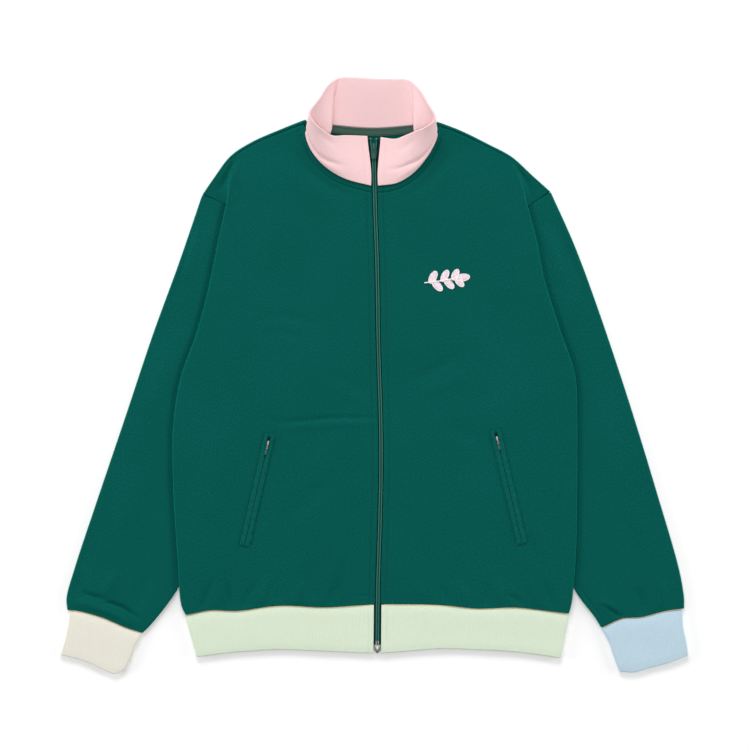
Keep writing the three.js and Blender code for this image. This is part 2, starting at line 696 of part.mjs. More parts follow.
// A pull tab about the origin: it turns about X, and lies along +Y.
function pullTab(width, length, thickness) {
  const eyeRadius = thickness * 0.7;
  const eye = new THREE.CylinderGeometry(eyeRadius, eyeRadius, width * 0.5, 12).rotateZ(Math.PI / 2);
  const neck = box(width * 0.5, 2.2, thickness, 0, 1.1, 0);
  const tip = length - width / 2;
  const outline = [[-width / 2, 1.7], [width / 2, 1.7]];
  for (let k = 0; k <= 6; k += 1) {
    const angle = k * Math.PI / 6;
    outline.push([width / 2 * Math.cos(angle), tip + width / 2 * Math.sin(angle)]);
  }
  return joined([eye, neck, plate(outline, thickness, -thickness / 2)]);
}

// Two lugs either side of a pull tab's eye, about the same origin, reaching down to a slider.
function lugs(width, down) {
  const thick = 0.8;
  const out = width * 0.25 + LAY_GAP + thick / 2;
  return [-1, 1].map((side) => box(thick, 2.2, down + 1, side * out, 0, (1 - down) / 2));
}

// Main slider: a shield-shaped plate over the coil, one under the tapes, and the wedge between.
function mainSlider() {
  const shield = [[-4, 5], [-4, 1], [-3, -7], [3, -7], [4, 1], [4, 5], [0, 6]];
  const under = plate(shield, 0.8, -4.6);
  const over = plate(shield, 1.2, 0);
  const wedge = box(1.4, 2, 4.6, 0, 4.2, -2);
  const raised = lugs(PULL.width, PULL.z - SLIDER_Z).map((lug) => lug.translate(0, 3.5, PULL.z - SLIDER_Z));
  return joined([under, over, wedge, ...raised]);
}

// Pockets

// The middle of a pocket's slit, from its bottom (0) to its top (1), and the way across it.
function pocketLine(side) {
  const { top, bottom } = side.pocket;
  const low = point([side.sign * bottom[0], bottom[1]]);
  const high = point([side.sign * top[0], top[1]]);
  const along = high.clone().sub(low);
  const across = new THREE.Vector3(along.y, -along.x, 0).normalize();
  return { at: (t) => low.clone().addScaledVector(along, t), across, length: along.length(), along };
}

// One lip of a pocket, from its folded edge at the slit out to its stitching.
function pocketLip(side, hand) {
  const line = pocketLine(side);
  const steps = 8;
  const rows = [];
  for (let i = 0; i <= steps; i += 1) {
    const t = i / steps;
    const gape = mix(LIP.slit, LIP.gape, smooth((t - 0.78) / 0.14));
    const row = [];
    for (const out of [gape, LIP.width]) {
      const p = line.at(mix(-0.02, 1.02, t)).addScaledVector(line.across, hand * out);
      p.z = heightOn(fronts[side.name], p.x, p.y) + LIP.lift;
      row.push(p);
    }
    rows.push(row);
  }
  return wall(rows, LIP.wall);
}

// A small piece set into a pocket's slit, turned to its line and laid on the panel.
function inSlit(side, geometry, along, lift) {
  const line = pocketLine(side);
  const p = line.at(along / line.length);
  const turn = Math.atan2(line.along.y, line.along.x) - Math.PI / 2;
  const z = heightOn(fronts[side.name], p.x, p.y) + KNIT / 2 + lift;
  return { geometry, p: point([p.x, p.y, z]), turn };
}

function addInSlit(name, { geometry, p, turn }, colour, roughness, metalness) {
  const mesh = add(name, geometry, colour, roughness, metalness);
  mesh.position.copy(p);
  mesh.rotation.z = turn;
}

function pocketCoil(side) {
  const line = pocketLine(side);
  const end = 1 - (POCKET_SLIDER.fromTop + POCKET_SLIDER.length + 0.5) / line.length;
  const sections = [];
  for (let i = 0; i <= 6; i += 1) {
    const p = line.at(mix(0, end, i / 6));
    const z = heightOn(fronts[side.name], p.x, p.y) + KNIT / 2 + LAY_GAP;
    const corner = (out, up) => p.clone().addScaledVector(line.across, out).setZ(z + up);
    sections.push([corner(-0.5, 0), corner(0.5, 0), corner(0.5, 0.9), corner(-0.5, 0.9)]);
  }
  return bar(sections);
}

function pocketSlider() {
  const { width, length, height } = POCKET_SLIDER;
  const outline = [[-width / 2, 0], [-width * 0.35, -length], [width * 0.35, -length], [width / 2, 0]];
  const body = plate(outline, height, 0);
  const raised = lugs(POCKET_PULL.width, 1.4).map((lug) => lug.translate(0, -1.3, height + 0.9));
  return joined([body, ...raised]);
}

// Chest motif: a sprig of seven leaves on a stem, lying on the left front.
function motif() {
  const half = 30;
  const leaf = (x, y, angle, size) => {
    const shape = new THREE.Shape();
    shape.absellipse(0, 0, size, size * 0.48, 0, 2 * Math.PI, false, 0);
    return new THREE.ExtrudeGeometry(shape, { depth: MOTIF.thickness, bevelEnabled: false, curveSegments: 8 })
      .rotateZ(angle).translate(x + size * 0.85 * Math.cos(angle), y + size * 0.85 * Math.sin(angle), 0);
  };
  const stem = box(2 * half - 12, 2.2, MOTIF.thickness, -5, 0, MOTIF.thickness / 2);
  const leaves = [leaf(half - 16, 0, 0, 9)];
  for (const [k, x] of [-21, -5, 9].entries()) {
    for (const hand of [-1, 1]) {
      leaves.push(leaf(x + (hand < 0 ? 4 : 0), 0, hand * MOTIF.spread, 8.5 - 0.5 * k));
    }
  }
  const flat = joined([stem, ...leaves]).rotateZ(MOTIF.tilt).translate(MOTIF.x, MOTIF.y, 0);
  const position = flat.attributes.position;
  for (let i = 0; i < position.count; i += 1) {
    const ground = heightOn(fronts.left, position.getX(i), position.getY(i));
    position.setZ(i, position.getZ(i) + ground + KNIT / 2 + LAY_GAP);
  }
  return flat;
}

const fronts = {};
for (const side of SIDES) {
  fronts[side.name] = frontRows(side);
  add(`front_${side.name}`, wall(fronts[side.name], KNIT), 'green');
}
add('back', wall(backRows(), KNIT), 'green');
add('sleeve_right', wall(sleeveRows(RIGHT), KNIT, true), 'green');
add('sleeve_left', wall(sleeveRows(LEFT), KNIT, true), 'green');
add('cuff_right', wall(cuffRows(RIGHT), RIB, true), 'cream');
add('cuff_left', wall(cuffRows(LEFT), RIB, true), 'blue');
add('hem_band', wall(bandRows(), RIB), 'mint');
add('collar', wall(collarRows(), RIB), 'pink');
add('neck_tape', wall(neckTapeRows(), TAPE), 'tape');
add('chest_motif', motif(), 'thread', 0.6);

const sliderX = xAt(zipLine, SLIDER_Y);
add('zip_slider', mainSlider(), 'coil', 0.45, 0.3).position.set(sliderX, SLIDER_Y, SLIDER_Z);
add('zip_pull', pullTab(PULL.width, PULL.length, PULL.thickness), 'coil', 0.45, 0.3)
  .position.set(sliderX, SLIDER_Y + 3.5, PULL.z);
const boxX = xAt(zipLine, ZIP_BOTTOM_Y);
const boxShape = [[-4.3, -0.4], [-4.3, -6], [-1, -11], [1, -11], [4.3, -6], [4.3, -0.4]];
add('zip_box', plate(boxShape, 4, 2.7), 'metal', 0.3, 0.9).position.set(boxX, ZIP_BOTTOM_Y, 0);
for (const side of SIDES) {
  const { name, sign } = side;
  add(`zip_tape_${name}`, zipTape(side), 'coil', 0.6);
  const stopX = xAt(zipLine, ZIP_TOP_Y) + sign * (ZIP_SPREAD + 1.6);
  add(`zip_stop_${name}`, box(2.8, 2.8, 2.6, 0, 1.8, 1.3), 'metal', 0.3, 0.9)
    .position.set(stopX, ZIP_TOP_Y, 3.8);
  for (const [place, hand] of [['inner', -sign], ['outer', sign]]) {
    add(`pocket_lip_${place}_${name}`, pocketLip(side, hand), 'green');
  }
  add(`pocket_coil_${name}`, pocketCoil(side), 'coil', 0.6);
  const top = pocketLine(side).length - POCKET_SLIDER.fromTop;
  const slider = inSlit(side, pocketSlider(), top, LAY_GAP + 0.3);
  addInSlit(`pocket_slider_${name}`, slider, 'coil', 0.45, 0.3);
  const pull = inSlit(side, pullTab(POCKET_PULL.width, POCKET_PULL.length, POCKET_PULL.thickness), top - 1.3,
    LAY_GAP + 0.3 + POCKET_SLIDER.height + 0.9);
  addInSlit(`pocket_pull_${name}`, pull, 'metal', 0.35, 0.8);
}

export default object;
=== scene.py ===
"""Track jacket laid flat: its cloth, zips, stitching, materials, light and camera.

Lengths are millimetres until a mesh is made. +X runs to the wearer's left, +Y towards the collar and
+Z up from the table. Outlines give x as the distance from the centre line, one set for each side.
"""
import math

import bpy
import numpy as np
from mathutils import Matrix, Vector
from mathutils.kdtree import KDTree


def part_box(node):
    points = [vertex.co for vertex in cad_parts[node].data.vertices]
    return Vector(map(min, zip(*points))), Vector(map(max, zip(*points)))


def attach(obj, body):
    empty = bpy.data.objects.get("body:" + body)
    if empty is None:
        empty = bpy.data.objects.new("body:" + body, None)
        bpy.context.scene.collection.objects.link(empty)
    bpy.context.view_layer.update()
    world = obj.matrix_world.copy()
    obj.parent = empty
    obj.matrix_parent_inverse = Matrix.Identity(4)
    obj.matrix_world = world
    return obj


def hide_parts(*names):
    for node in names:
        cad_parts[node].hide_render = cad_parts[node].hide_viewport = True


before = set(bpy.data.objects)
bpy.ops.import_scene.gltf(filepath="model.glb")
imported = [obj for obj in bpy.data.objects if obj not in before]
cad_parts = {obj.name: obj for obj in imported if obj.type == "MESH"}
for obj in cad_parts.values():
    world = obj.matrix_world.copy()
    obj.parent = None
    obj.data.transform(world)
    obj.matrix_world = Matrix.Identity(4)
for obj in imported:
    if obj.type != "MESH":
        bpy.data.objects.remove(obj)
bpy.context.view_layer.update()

MM = 0.001

# Walls, gaps between layers, and heights of the cloth's middle surfaces
KNIT = 1.4
RIB = 2.4
TAPE = 0.7
ALLOWANCE = 0.8
POCKET_TAPE = 0.3
LIP = 1.0
SEAM_GAP = 0.5
LAY_GAP = 0.4
BACK_Z = KNIT / 2
TUCK_Z = BACK_Z + KNIT + LAY_GAP
FLAP_Z = TUCK_Z + KNIT + LAY_GAP
FRONT_Z = 5.2
FOLD_Z = 8.3
HEM_FOLD_Z = 7.0
SHOULDER_Z = 4.3
NECK_Z = 4.6
SLEEVE_Z = 5.4
EDGE_Z = 4.3
BAND_Z = 5.2
CUFF_Z = 4.8

ROLLS = 9  # columns of points round each rolled edge of a tube
FRONT_COLUMNS = 92  # columns of a front's grid before those that turn under it
COLLAR_END_COLUMNS = 60

# Furrows as (half width, depth), the rib's half widths being shares of its length
SHOULDER_FURROW = (1.3, 2.2)
NECK_FURROW = (1.3, 1.5)
ZIP_STITCH_FURROW = (1.3, 0.5)
ZIP_EDGE_FURROW = (0.9, 0.9)
POCKET_FURROW = (0.9, 0.9)
RIB_SEAM_FURROW = (0.1, 0.9)
RIB_EDGE_FURROW = (0.08, 0.5)

# Broad waves of laid cloth: direction in degrees, length, height and phase
FRONT_WAVES = [(70, 210, 0.28, 0.4), (15, 160, 0.22, 1.7), (120, 130, 0.16, 0.2)]
SLEEVE_WAVES = [(60, 170, 0.25, 0.9), (130, 120, 0.2, 0.3)]
CUFF_WAVES = [(80, 46, 0.12, 0.3), (20, 60, 0.14, 0.8)]
BAND_WAVES = [(85, 52, 0.12, 0.5), (10, 74, 0.2, 0.1)]

SEAM_INSET = {"neck": 4.2, "arm": 2.5}  # of the shoulder seam in from the shoulder's edge
SEAM_START = 0.03  # share of the shoulder seam at which the front's top begins
RIDGE_AT = 0.58  # and at which the ridge of the drop shoulder begins
ZIP_HALF = 3.9  # from the zip's centre line to the edge of a front
BAND_HALF = 5  # and to an end of the hem band
NECK_Y = 248
HEM_Y = -302
BAND_BOTTOM_Y = -367
REAR_TOP_Y = -307  # of the hem band's rear layer, at its middle
REAR_BOTTOM_Y = -360
ZIP_BOTTOM_Y = -355.6
ZIP_OPEN_Y = 283
ZIP_OPENING = 26  # length over which the two tapes part
ZIP_TOP_Y = 309.5
ZIP_SPREAD = 2.2  # of each tape from the centre line, at the top
SLIDER_Y = 291
SLIDER_Z = 6.3
PULL_Z = 9.1
PULL_EYE = 3.5  # pull tab's hinge above the slider's middle
TOPSTITCH_INSET = {"zip": 7, "neck": 7.5}  # of a front's top-stitching from its edges
COLLAR_STITCHING = {"right": (-11.0, -5.0), "left": (12.0, 3.5)}  # x at its foot, and its lean
COLLAR_STITCHING_YS = (252, 312)
MOTIF = {"x": 95, "y": 125, "tilt": 0.14, "spread": 0.95, "dome": 0.75, "cord": 0.62}
POCKET = {"slit": 0.55, "gape": 2.2, "width": 6.3, "slider_from_top": 14}

# Shares of the grids' rows and columns, as in the model
NECK_COLS = 6
SHOULDER_COLS = 4
TURN_COLS = 6
RIDGE_ROWS = 2
ARMHOLE_ROWS = 6
SIDE_ROWS = 4
ALL_ROWS = RIDGE_ROWS + ARMHOLE_ROWS + SIDE_ROWS

RIGHT = {
    "name": "right",
    "sign": -1,
    "neckline": [(20, 252), (36, 257), (54, 266), (70, 280), (81, 296), (88, 313), (92, 329)],
    "shoulder_edge": [(91, 336), (120, 324.5), (162, 306), (189, 288), (211, 259), (226, 237)],
    "arm_top": [(226, 237), (210, 231.5), (194.5, 224.6)],
    "ridge": [(188, 258), (194.5, 224.6)],
    "fold": [(194.5, 224.6), (204.5, 178), (219, 108), (234, 53), (254, -3), (263, -57), (265, -94),
             (263, -170), (258, -243), (253.5, -303), (247.5, -316.5)],
    "armhole": [(194.5, 224.6), (187, 190), (184, 120), (185, 50), (192, -20)],
    "side_seam": [(192, -20), (197, -100), (206, -200), (224, -307)],
    "hem": [(248, -315), (216, -310), (180, -311), (123, -304), (70, -306.5), (24, -304)],
    "band_bottom": [(233, -371.5), (199, -367), (163, -364), (128, -362), (93, -363), (27, -366)],
    "sleeve_outer": [(226, 237), (258, 144), (290.5, 55), (329, -60), (365, -166.5),
                     (394.5, -255.5), (405, -294), (404, -310)],
    "sleeve_inner": [(192, -20), (206, -80), (222, -150), (240, -220), (256, -275), (294, -328),
                     (306, -340)],
    "cuff_seam": [(404, -310), (391, -311), (360, -319), (327, -333), (306, -340)],
    "cuff_outer": [(401, -312), (402, -325), (408, -352), (413, -369)],
    "cuff_bottom": [(413, -369), (384, -376), (357, -388), (342, -394), (330, -389)],
    "cuff_inner": [(307, -341), (316, -357), (323, -376), (330, -389)],
    "pocket_top": (138, -82),
    "pocket_bottom": (170, -222),
}
LEFT = {
    "name": "left",
    "sign": 1,
    "neckline": [(16, 248.5), (29, 252), (47, 262), (61, 276.5), (72, 294), (80.5, 313), (84, 329)],
    "shoulder_edge": [(83, 333.5), (115, 321), (149.5, 304), (181, 287), (208, 262.5), (232, 241)],
    "arm_top": [(232, 241), (217, 232), (201.5, 222)],
    "ridge": [(193, 249), (201.5, 222)],
    "fold": [(201.5, 222), (215, 170), (223, 128), (245, 57), (264, -1), (267, -60), (267, -130),
             (265, -237), (259.5, -300), (256, -314.5)],
    "armhole": [(201.5, 222), (192, 186), (188, 120), (189, 50), (195, -20)],
    "side_seam": [(195, -20), (200, -100), (210, -200), (228, -305)],
    "hem": [(256, -313), (216, -309.5), (187, -306.6), (135, -308), (85, -303), (32, -302)],
    "band_bottom": [(245, -373), (204, -367), (166, -363.6), (130, -362), (85, -361), (41, -364.5)],
    "sleeve_outer": [(232, 241), (263, 172), (293.5, 90), (334, -31), (370, -148), (402, -259),
                     (408, -295), (408, -308)],
    "sleeve_inner": [(195, -20), (209, -80), (226, -150), (246, -225), (264, -281), (292, -320),
                     (300, -333)],
    "cuff_seam": [(408, -308), (384, -311), (352, -319), (327, -321), (300, -333)],
    "cuff_outer": [(405, -310), (406, -330), (411, -355), (413, -370)],
    "cuff_bottom": [(413, -370), (390, -379), (363, -386), (342, -392), (325, -391)],
    "cuff_inner": [(301, -334), (310, -350), (317, -370), (325, -391)],
    "pocket_top": (160, -76),
    "pocket_bottom": (194, -219),
}
SIDES = (RIGHT, LEFT)

ZIP_LINE = [(-1, 314), (0, 270), (1.4, 216), (4, 140), (5.5, 45), (8.6, -62), (9, -120),
            (7.6, -194), (5, -280), (4, -370)]
BACK_NECK = [(-91, 335), (-57, 329), (-2, 324.5), (52, 328.5), (83, 333)]

# Collar stations from the wearer's right front edge round the back to the left one: a point of the
# neck seam, a point of the rim, and how far the wall bows between them, most at a third of its height.
COLLAR = [
    ((-4, 249, 6.8), (-9, 314.5, 8.5), (1.5, 0, 1)),
    ((-36, 257.5, 6.8), (-38, 315, 13), (0, 0, 2)),
    ((-54, 267, 6.4), (-54, 314, 19), (0, 0, 3)),
    ((-70, 281, 6.1), (-66, 320, 26), (-1, -3, 2)),
    ((-81, 297, 6.0), (-77, 329, 31), (-2, -2, 0)),
    ((-87.5, 316, 5.9), (-84, 342, 33), (-2, 0, 0)),
    ((-86, 331, 5.7), (-71, 362, 31), (6, -18, 0)),
    ((-74, 334, 4), (-60, 380, 24), (10, -31, 0)),
    ((-58, 330.4, 1.6), (-46, 391, 8), (0, -3, 0)),
    ((-30, 327.3, 1.3), (-24, 392, 4), (0, 0, 0)),
    ((-2, 325.7, 1.3), (-1, 390.5, 3.5), (0, 0, 0)),
    ((26, 327.1, 1.3), (22, 390, 4), (0, 0, 0)),
    ((53, 329.8, 1.6), (43, 388.5, 8), (0, -3, 0)),
    ((67, 333, 4), (57, 377, 22), (-9, -29, 0)),
    ((79, 330, 5.7), (69, 357, 29), (-6, -17, 0)),
    ((80.5, 315, 5.9), (79, 335, 31), (2, 0, 0)),
    ((72, 294, 6.0), (66, 324, 28), (2, -2, 0)),
    ((61, 277, 6.1), (53, 319, 24), (1, -3, 2)),
    ((47, 262.5, 6.4), (42, 315, 18), (0, 0, 3)),
    ((29, 252.5, 6.8), (28, 310.5, 12), (0, 0, 2)),
    ((5, 249, 6.8), (8.5, 313, 8.5), (-1.4, 0, 1)),
]

# Creases: points along the crease, its half width, and its height (a trough's is negative)
CREASE_LIFT = 1.35
FRONT_CREASES = {
    "right": [
        ([(-100, 300), (-84, 272), (-62, 252), (-38, 243), (-16, 240)], 9, -2.2),
        ([(-122, 294), (-106, 262), (-84, 238), (-60, 226)], 13, 1.3),
        ([(-146, -46), (-140, -58), (-126, -62), (-92, -60), (-58, -57), (-22, -57), (24, -57)], 2.2, -2.2),
        ([(-136, -72), (-80, -67), (-40, -64), (16, -64)], 4.5, 1.0),
        ([(-50, 4), (-30, -12), (-8, -26)], 4, -0.9),
        ([(-66, -8), (-34, -28), (-8, -40)], 5, 0.7),
        ([(-162, 70), (-122, 77), (-72, 66)], 6, -0.8),
        ([(-150, 50), (-122, 55), (-92, 48)], 5, -0.7),
        ([(-30, -291), (-16, -291), (-2, -292)], 1.6, -0.7),
        ([(-187, 268), (-180, 246), (-176, 216)], 8, -1.2),
        ([(-150, 220), (-140, 180), (-142, 130)], 15, 1.0),
        ([(-19, -112), (-71, -152), (-137, -211)], 15, -1.6),
        ([(-38, -215), (-50, -255), (-58, -290)], 7, 1.3),
        ([(-96, -250), (-84, -275), (-78, -300)], 9, -1.1),
        ([(-210, -40), (-206, -120), (-220, -200)], 20, 1.2),
        ([(-228, -313), (-222, -292), (-214, -270)], 4, -1.6),
        ([(-206, -311), (-204, -290), (-199, -262)], 5, 1.4),
        ([(-190, -311), (-192, -288), (-200, -258)], 4, -1.4),
        ([(-172, -311), (-168, -294), (-156, -274)], 4, -1.4),
        ([(-150, -308), (-146, -290), (-138, -264)], 5, 1.3),
        ([(-128, -306), (-128, -288), (-132, -270)], 4, -1.2),
        ([(-104, -306), (-100, -290), (-92, -270)], 5, 1.0),
        ([(-56, -306), (-54, -292), (-48, -274)], 5, -1.0),
    ],
    "left": [
        ([(92, 298), (80, 268), (64, 248), (44, 236)], 8, -1.3),
        ([(112, 290), (96, 258), (76, 238)], 11, 1.0),
        ([(28, 246), (36, 240), (46, 232)], 3.2, -1.3),
        ([(182, 262), (176, 240), (178, 214)], 8, -1.1),
        ([(44, -10), (74, 4), (116, 28)], 7, -1.1),
        ([(56, -28), (86, -16), (124, 4)], 7, 0.8),
        ([(95, -58), (120, -78), (150, -88)], 10, -1.2),
        ([(136, 70), (140, 20), (130, -30)], 16, 0.9),
        ([(206, -205), (211, -235), (216, -258)], 6, -1.3),
        ([(226, -150), (234, -210), (232, -270)], 9, -1.2),
        ([(244, -117), (256, -121), (266, -122)], 2.6, -1.1),
        ([(236, -160), (250, -166), (262, -166)], 3.0, -0.9),
        ([(238, -311), (232, -292), (224, -270)], 4, -1.5),
        ([(214, -309), (210, -288), (204, -262)], 5, 1.3),
        ([(196, -307), (188, -296), (174, -290)], 3.4, -1.6),
        ([(170, -307), (166, -288), (158, -264)], 5, 1.3),
        ([(150, -308), (148, -292), (150, -272)], 4, -1.2),
        ([(122, -307), (118, -290), (110, -270)], 5, 1.2),
        ([(98, -305), (94, -290), (84, -272)], 4, -1.2),
        ([(66, -303), (64, -290), (58, -270)], 5, 0.9),
    ],
}
DROP_CREASES = {
    "right": [
        ([(-178, 296), (-187, 280), (-194, 262), (-200, 250), (-212, 243)], 5, -1.7),
        ([(-178, 284), (-186, 262), (-192, 244), (-196, 222)], 4, 1.3),
    ],
    "left": [
        ([(176, 292), (190, 274), (200, 256), (206, 240)], 5, -1.5),
        ([(180, 284), (190, 260), (197, 244), (203, 220)], 4, 1.3),
    ],
}
SLEEVE_CREASES = {
    "right": [
        ([(-362, -299), (-340, -303), (-325, -310), (-308, -324)], 3.0, -3.2),
        ([(-388, -286), (-370, -292), (-350, -296)], 3.2, -2.6),
        ([(-404, -299), (-372, -305), (-344, -315), (-312, -333)], 4.5, 2.0),
        ([(-340, -258), (-350, -280), (-352, -296)], 8, 1.5),
        ([(-392, -262), (-388, -280), (-380, -296)], 7, -1.2),
        ([(-296, -262), (-306, -290), (-312, -312)], 10, -1.2),
        ([(-262, 60), (-282, 0), (-302, -60)], 16, 1.4),
        ([(-232, 200), (-240, 160), (-248, 120)], 9, 1.5),
        ([(-250, 190), (-262, 140), (-272, 96)], 12, -1.4),
        ([(-300, -120), (-326, -190), (-344, -240)], 18, 1.2),
    ],
    "left": [
        ([(300, -302), (312, -310), (322, -317), (330, -320)], 2.8, -2.6),
        ([(294, -295), (306, -303), (320, -313)], 5, 1.6),
        ([(350, -318), (352, -300), (346, -280)], 5, -1.4),
        ([(378, -311), (382, -292), (380, -270)], 6, 1.2),
        ([(266, -274), (286, -304), (302, -326)], 1.2, -0.9),
        ([(226, 196), (236, 160), (244, 118)], 9, 2.0),
        ([(246, 210), (262, 150), (276, 100)], 12, -1.4),
        ([(276, 0), (300, -80), (318, -150)], 20, 1.4),
        ([(330, -180), (346, -230), (356, -270)], 16, -1.4),
    ],
}
# Collar creases: points as (station, share of the height), then half width and height in mm
COLLAR_CREASES = [
    ([(7.4, 0.34), (5.8, 0.27), (4.4, 0.22), (3.4, 0.22), (2.3, 0.25), (0.9, 0.32)], 4.2, -2.4),
    ([(7.0, 0.05), (5.4, 0.07), (4.0, 0.08), (3.0, 0.09), (1.0, 0.11)], 4.2, 1.7),
    ([(13.6, 0.30), (15.0, 0.25), (16.0, 0.24), (17.0, 0.25), (18.0, 0.28), (19.6, 0.34)], 3.2, -2.6),
    ([(13.8, 0.07), (15.4, 0.09), (16.4, 0.10), (17.4, 0.11), (19.2, 0.13)], 3.8, 1.6),
    ([(3.6, 0.86), (2.6, 0.80), (1.6, 0.78)], 6, -0.8),
    ([(17.0, 0.80), (18.0, 0.74), (19.0, 0.74)], 6, -0.8),
    ([(7.6, -0.5), (7.75, 0.4), (8.0, 1.1)], 1.7, 3.4),
    ([(7.1, -0.4), (7.25, 0.4), (7.5, 1.0)], 3.5, -1.6),
    ([(12.5, -0.5), (12.45, 0.4), (12.2, 1.1)], 1.5, 2.6),
    ([(13.0, -0.3), (12.9, 0.4), (12.7, 1.0)], 3.0, -1.0),
]

# sRGB colours
GREEN = (6, 80, 73)
# Painted highlight: the pocket lips' green, a little lighter than the fronts' green for the light on the
# raised lips
LIT_LIP_GREEN = (6, 84, 76)
PINK = (239, 202, 204)
MINT = (212, 225, 203)
CREAM = (226, 223, 211)
BLUE = (185, 208, 221)
TAPE_GREEN = (74, 108, 96)
COIL_GREEN = (26, 66, 60)
DARK_GREEN = (6, 36, 34)
ZIP_GREEN = (62, 142, 127)
# Painted shade: dark green for the zip tape's border, where the fronts' edges shade it, also used for the
# pocket tapes
PAINTED_SHADE_GREEN = (8, 44, 42)
ZIP_BAND_SPAN = 4.0  # width of tape, in millimetres, that the colour ramp covers
PAINT_GREEN = (40, 88, 77)
GREEN_THREAD = (8, 74, 66)
DARK_THREAD = (10, 40, 36)
TAN_THREAD = (216, 188, 130)
PINK_THREAD = (238, 196, 200)
MINT_THREAD = (205, 218, 196)
THREAD_LILAC = (237, 220, 229)
THREAD_EDGE = (251, 234, 236)
METAL = (150, 152, 150)
FLOOR = (252, 252, 252)


# ---- Curves and surfaces ----

def smooth(t):
    t = np.clip(t, 0, 1)
    return t * t * (3 - 2 * t)


def mix(a, b, t):
    return a + (b - a) * t


def unit(v):
    return v / np.maximum(np.linalg.norm(v, axis=-1, keepdims=True), 1e-9)


def as_points(points):
    return np.array([(*p, 0.0) if len(p) == 2 else tuple(p) for p in points], float)


def curve(points, by_length=True):
    """A smooth curve through points, as a function of 0 to 1 along its length, or by its points."""
    p = as_points(points)
    p = np.vstack([2 * p[0] - p[1], p, 2 * p[-1] - p[-2]])
    step = np.sqrt(np.linalg.norm(np.diff(p, axis=0), axis=1))[:, None]
    p0, p1, p2, p3 = p[:-3], p[1:-2], p[2:-1], p[3:]
    d0, d1, d2 = step[:-2], step[1:-1], step[2:]
    m1 = ((p1 - p0) / d0 - (p2 - p0) / (d0 + d1) + (p2 - p1) / d1) * d1
    m2 = ((p2 - p1) / d1 - (p3 - p1) / (d1 + d2) + (p3 - p2) / d2) * d1
    t = np.linspace(0, 1, 40, endpoint=False)[None, :, None]
    quad = (-3 * p1 + 3 * p2 - 2 * m1 - m2)[:, None] * t ** 2
    cubic = (2 * p1 - 2 * p2 + m1 + m2)[:, None] * t ** 3
    dense = (p1[:, None] + m1[:, None] * t + quad + cubic).reshape(-1, 3)
    dense = np.vstack([dense, p[-2]])
    at = np.linspace(0, 1, len(dense))
    if by_length:
        at = np.concatenate([[0], np.cumsum(np.linalg.norm(np.diff(dense, axis=0), axis=1))])
        at = at / at[-1]
    return lambda s: np.stack([np.interp(s, at, dense[:, k]) for k in range(3)], axis=-1)


def side_curve(side, points):
    return curve([(side["sign"] * x, y) for x, y in points])


def backwards(along):
    return lambda t: along(1 - np.asarray(t, float))


def part_of(along, start, end):
    return lambda t: along(mix(start, end, np.asarray(t, float)))


def chain(curves, steps):
    """Several curves end to end, each taking its share of the steps."""
    ends = np.cumsum([0, *steps]) / sum(steps)

    def at(t):
        t = np.asarray(t, float)
        which = np.clip(np.searchsorted(ends, t - 1e-9, side="left") - 1, 0, len(curves) - 1)
        out = np.zeros((*t.shape, 3))
        for k, along in enumerate(curves):
            local = (t - ends[k]) / (ends[k + 1] - ends[k])
            out = np.where((which == k)[..., None], along(np.clip(local, 0, 1)), out)
        return out
    return at


def patch(top, bottom, left, right, u, v):
    """Points of a surface between four edges: u runs along top and bottom, v along the sides."""
    a = u[None, :, None]
    b = v[:, None, None]
    grid = top(u)[None] * (1 - b) + bottom(u)[None] * b
    grid = grid + left(v)[:, None] * (1 - a) + right(v)[:, None] * a
    grid = grid - top(0.0) * (1 - a) * (1 - b) - top(1.0) * a * (1 - b)
    return grid - bottom(0.0) * (1 - a) * b - bottom(1.0) * a * b


def x_at(along, y):
    """x of a curve that runs down the jacket, at given heights y."""
    dense = along(np.linspace(0, 1, 600))
    return np.interp(-np.asarray(y, float), -dense[:, 1], dense[:, 0])


def right_of(along, t):
    """The direction to the right of a curve's travel, in the plane of the table."""
    t = np.asarray(t, float)
    step = along(np.minimum(1, t + 0.01)) - along(np.maximum(0, t - 0.01))
    return unit(np.stack([step[..., 1], -step[..., 0], np.zeros(t.shape)], axis=-1))


def distance_to(points, line):
    """Distance in plan from points to a line of points, and the nearest point's share of it."""
    flat = points[..., :2].reshape(-1, 2)
    near = np.full(len(flat), 1e9)
    share = np.zeros(len(flat))
    for k in range(len(line) - 1):
        a, b = line[k, :2], line[k + 1, :2]
        t = np.clip(((flat - a) @ (b - a)) / max((b - a) @ (b - a), 1e-9), 0, 1)
        gap = np.linalg.norm(flat - a - t[:, None] * (b - a), axis=1)
        closer = gap < near
        near = np.where(closer, gap, near)
        share = np.where(closer, (k + t) / (len(line) - 1), share)
    return near.reshape(points.shape[:-1]), share.reshape(points.shape[:-1])


def crease(points, line, half_width, height):
    """Height that one soft crease adds at points, fading out at both of its ends."""
    gap, share = distance_to(points, curve(line)(np.linspace(0, 1, 24)))
    fade = np.clip(4 * share * (1 - share), 0, 1)
    return height * np.exp(-(gap / half_width) ** 2) * fade


def creases(points, listed):
    return CREASE_LIFT * sum(crease(points, *one) for one in listed)


def swell(points, waves):
    """Broad unevenness of laid cloth, from (direction in degrees, length, height, phase) waves."""
    total = 0
    for direction, length, height, phase in waves:
        angle = math.radians(direction)
        along = points[..., 0] * math.cos(angle) + points[..., 1] * math.sin(angle)
        total = total + height * np.sin(2 * math.pi * along / length + phase)
    return total


def dip(gap, half_width, depth):
    """Height of a furrow at a gap from its middle."""
    return -depth * np.exp(-(gap / half_width) ** 2)


def groove(points, line, offset, furrow):
    """Height of the narrow groove that a row of stitches pulls, offset from a line."""
    gap, _ = distance_to(points, line)
    return dip(gap - offset, *furrow)


def sink_ends(upper, share):
    """Lowers the heights of a rib's upper layer at its seam (share 0) and free edge (share 1)."""
    upper += dip(share, *RIB_SEAM_FURROW)[:, None]
    upper += dip(1 - share, *RIB_EDGE_FURROW)[:, None]


# ---- Meshes ----

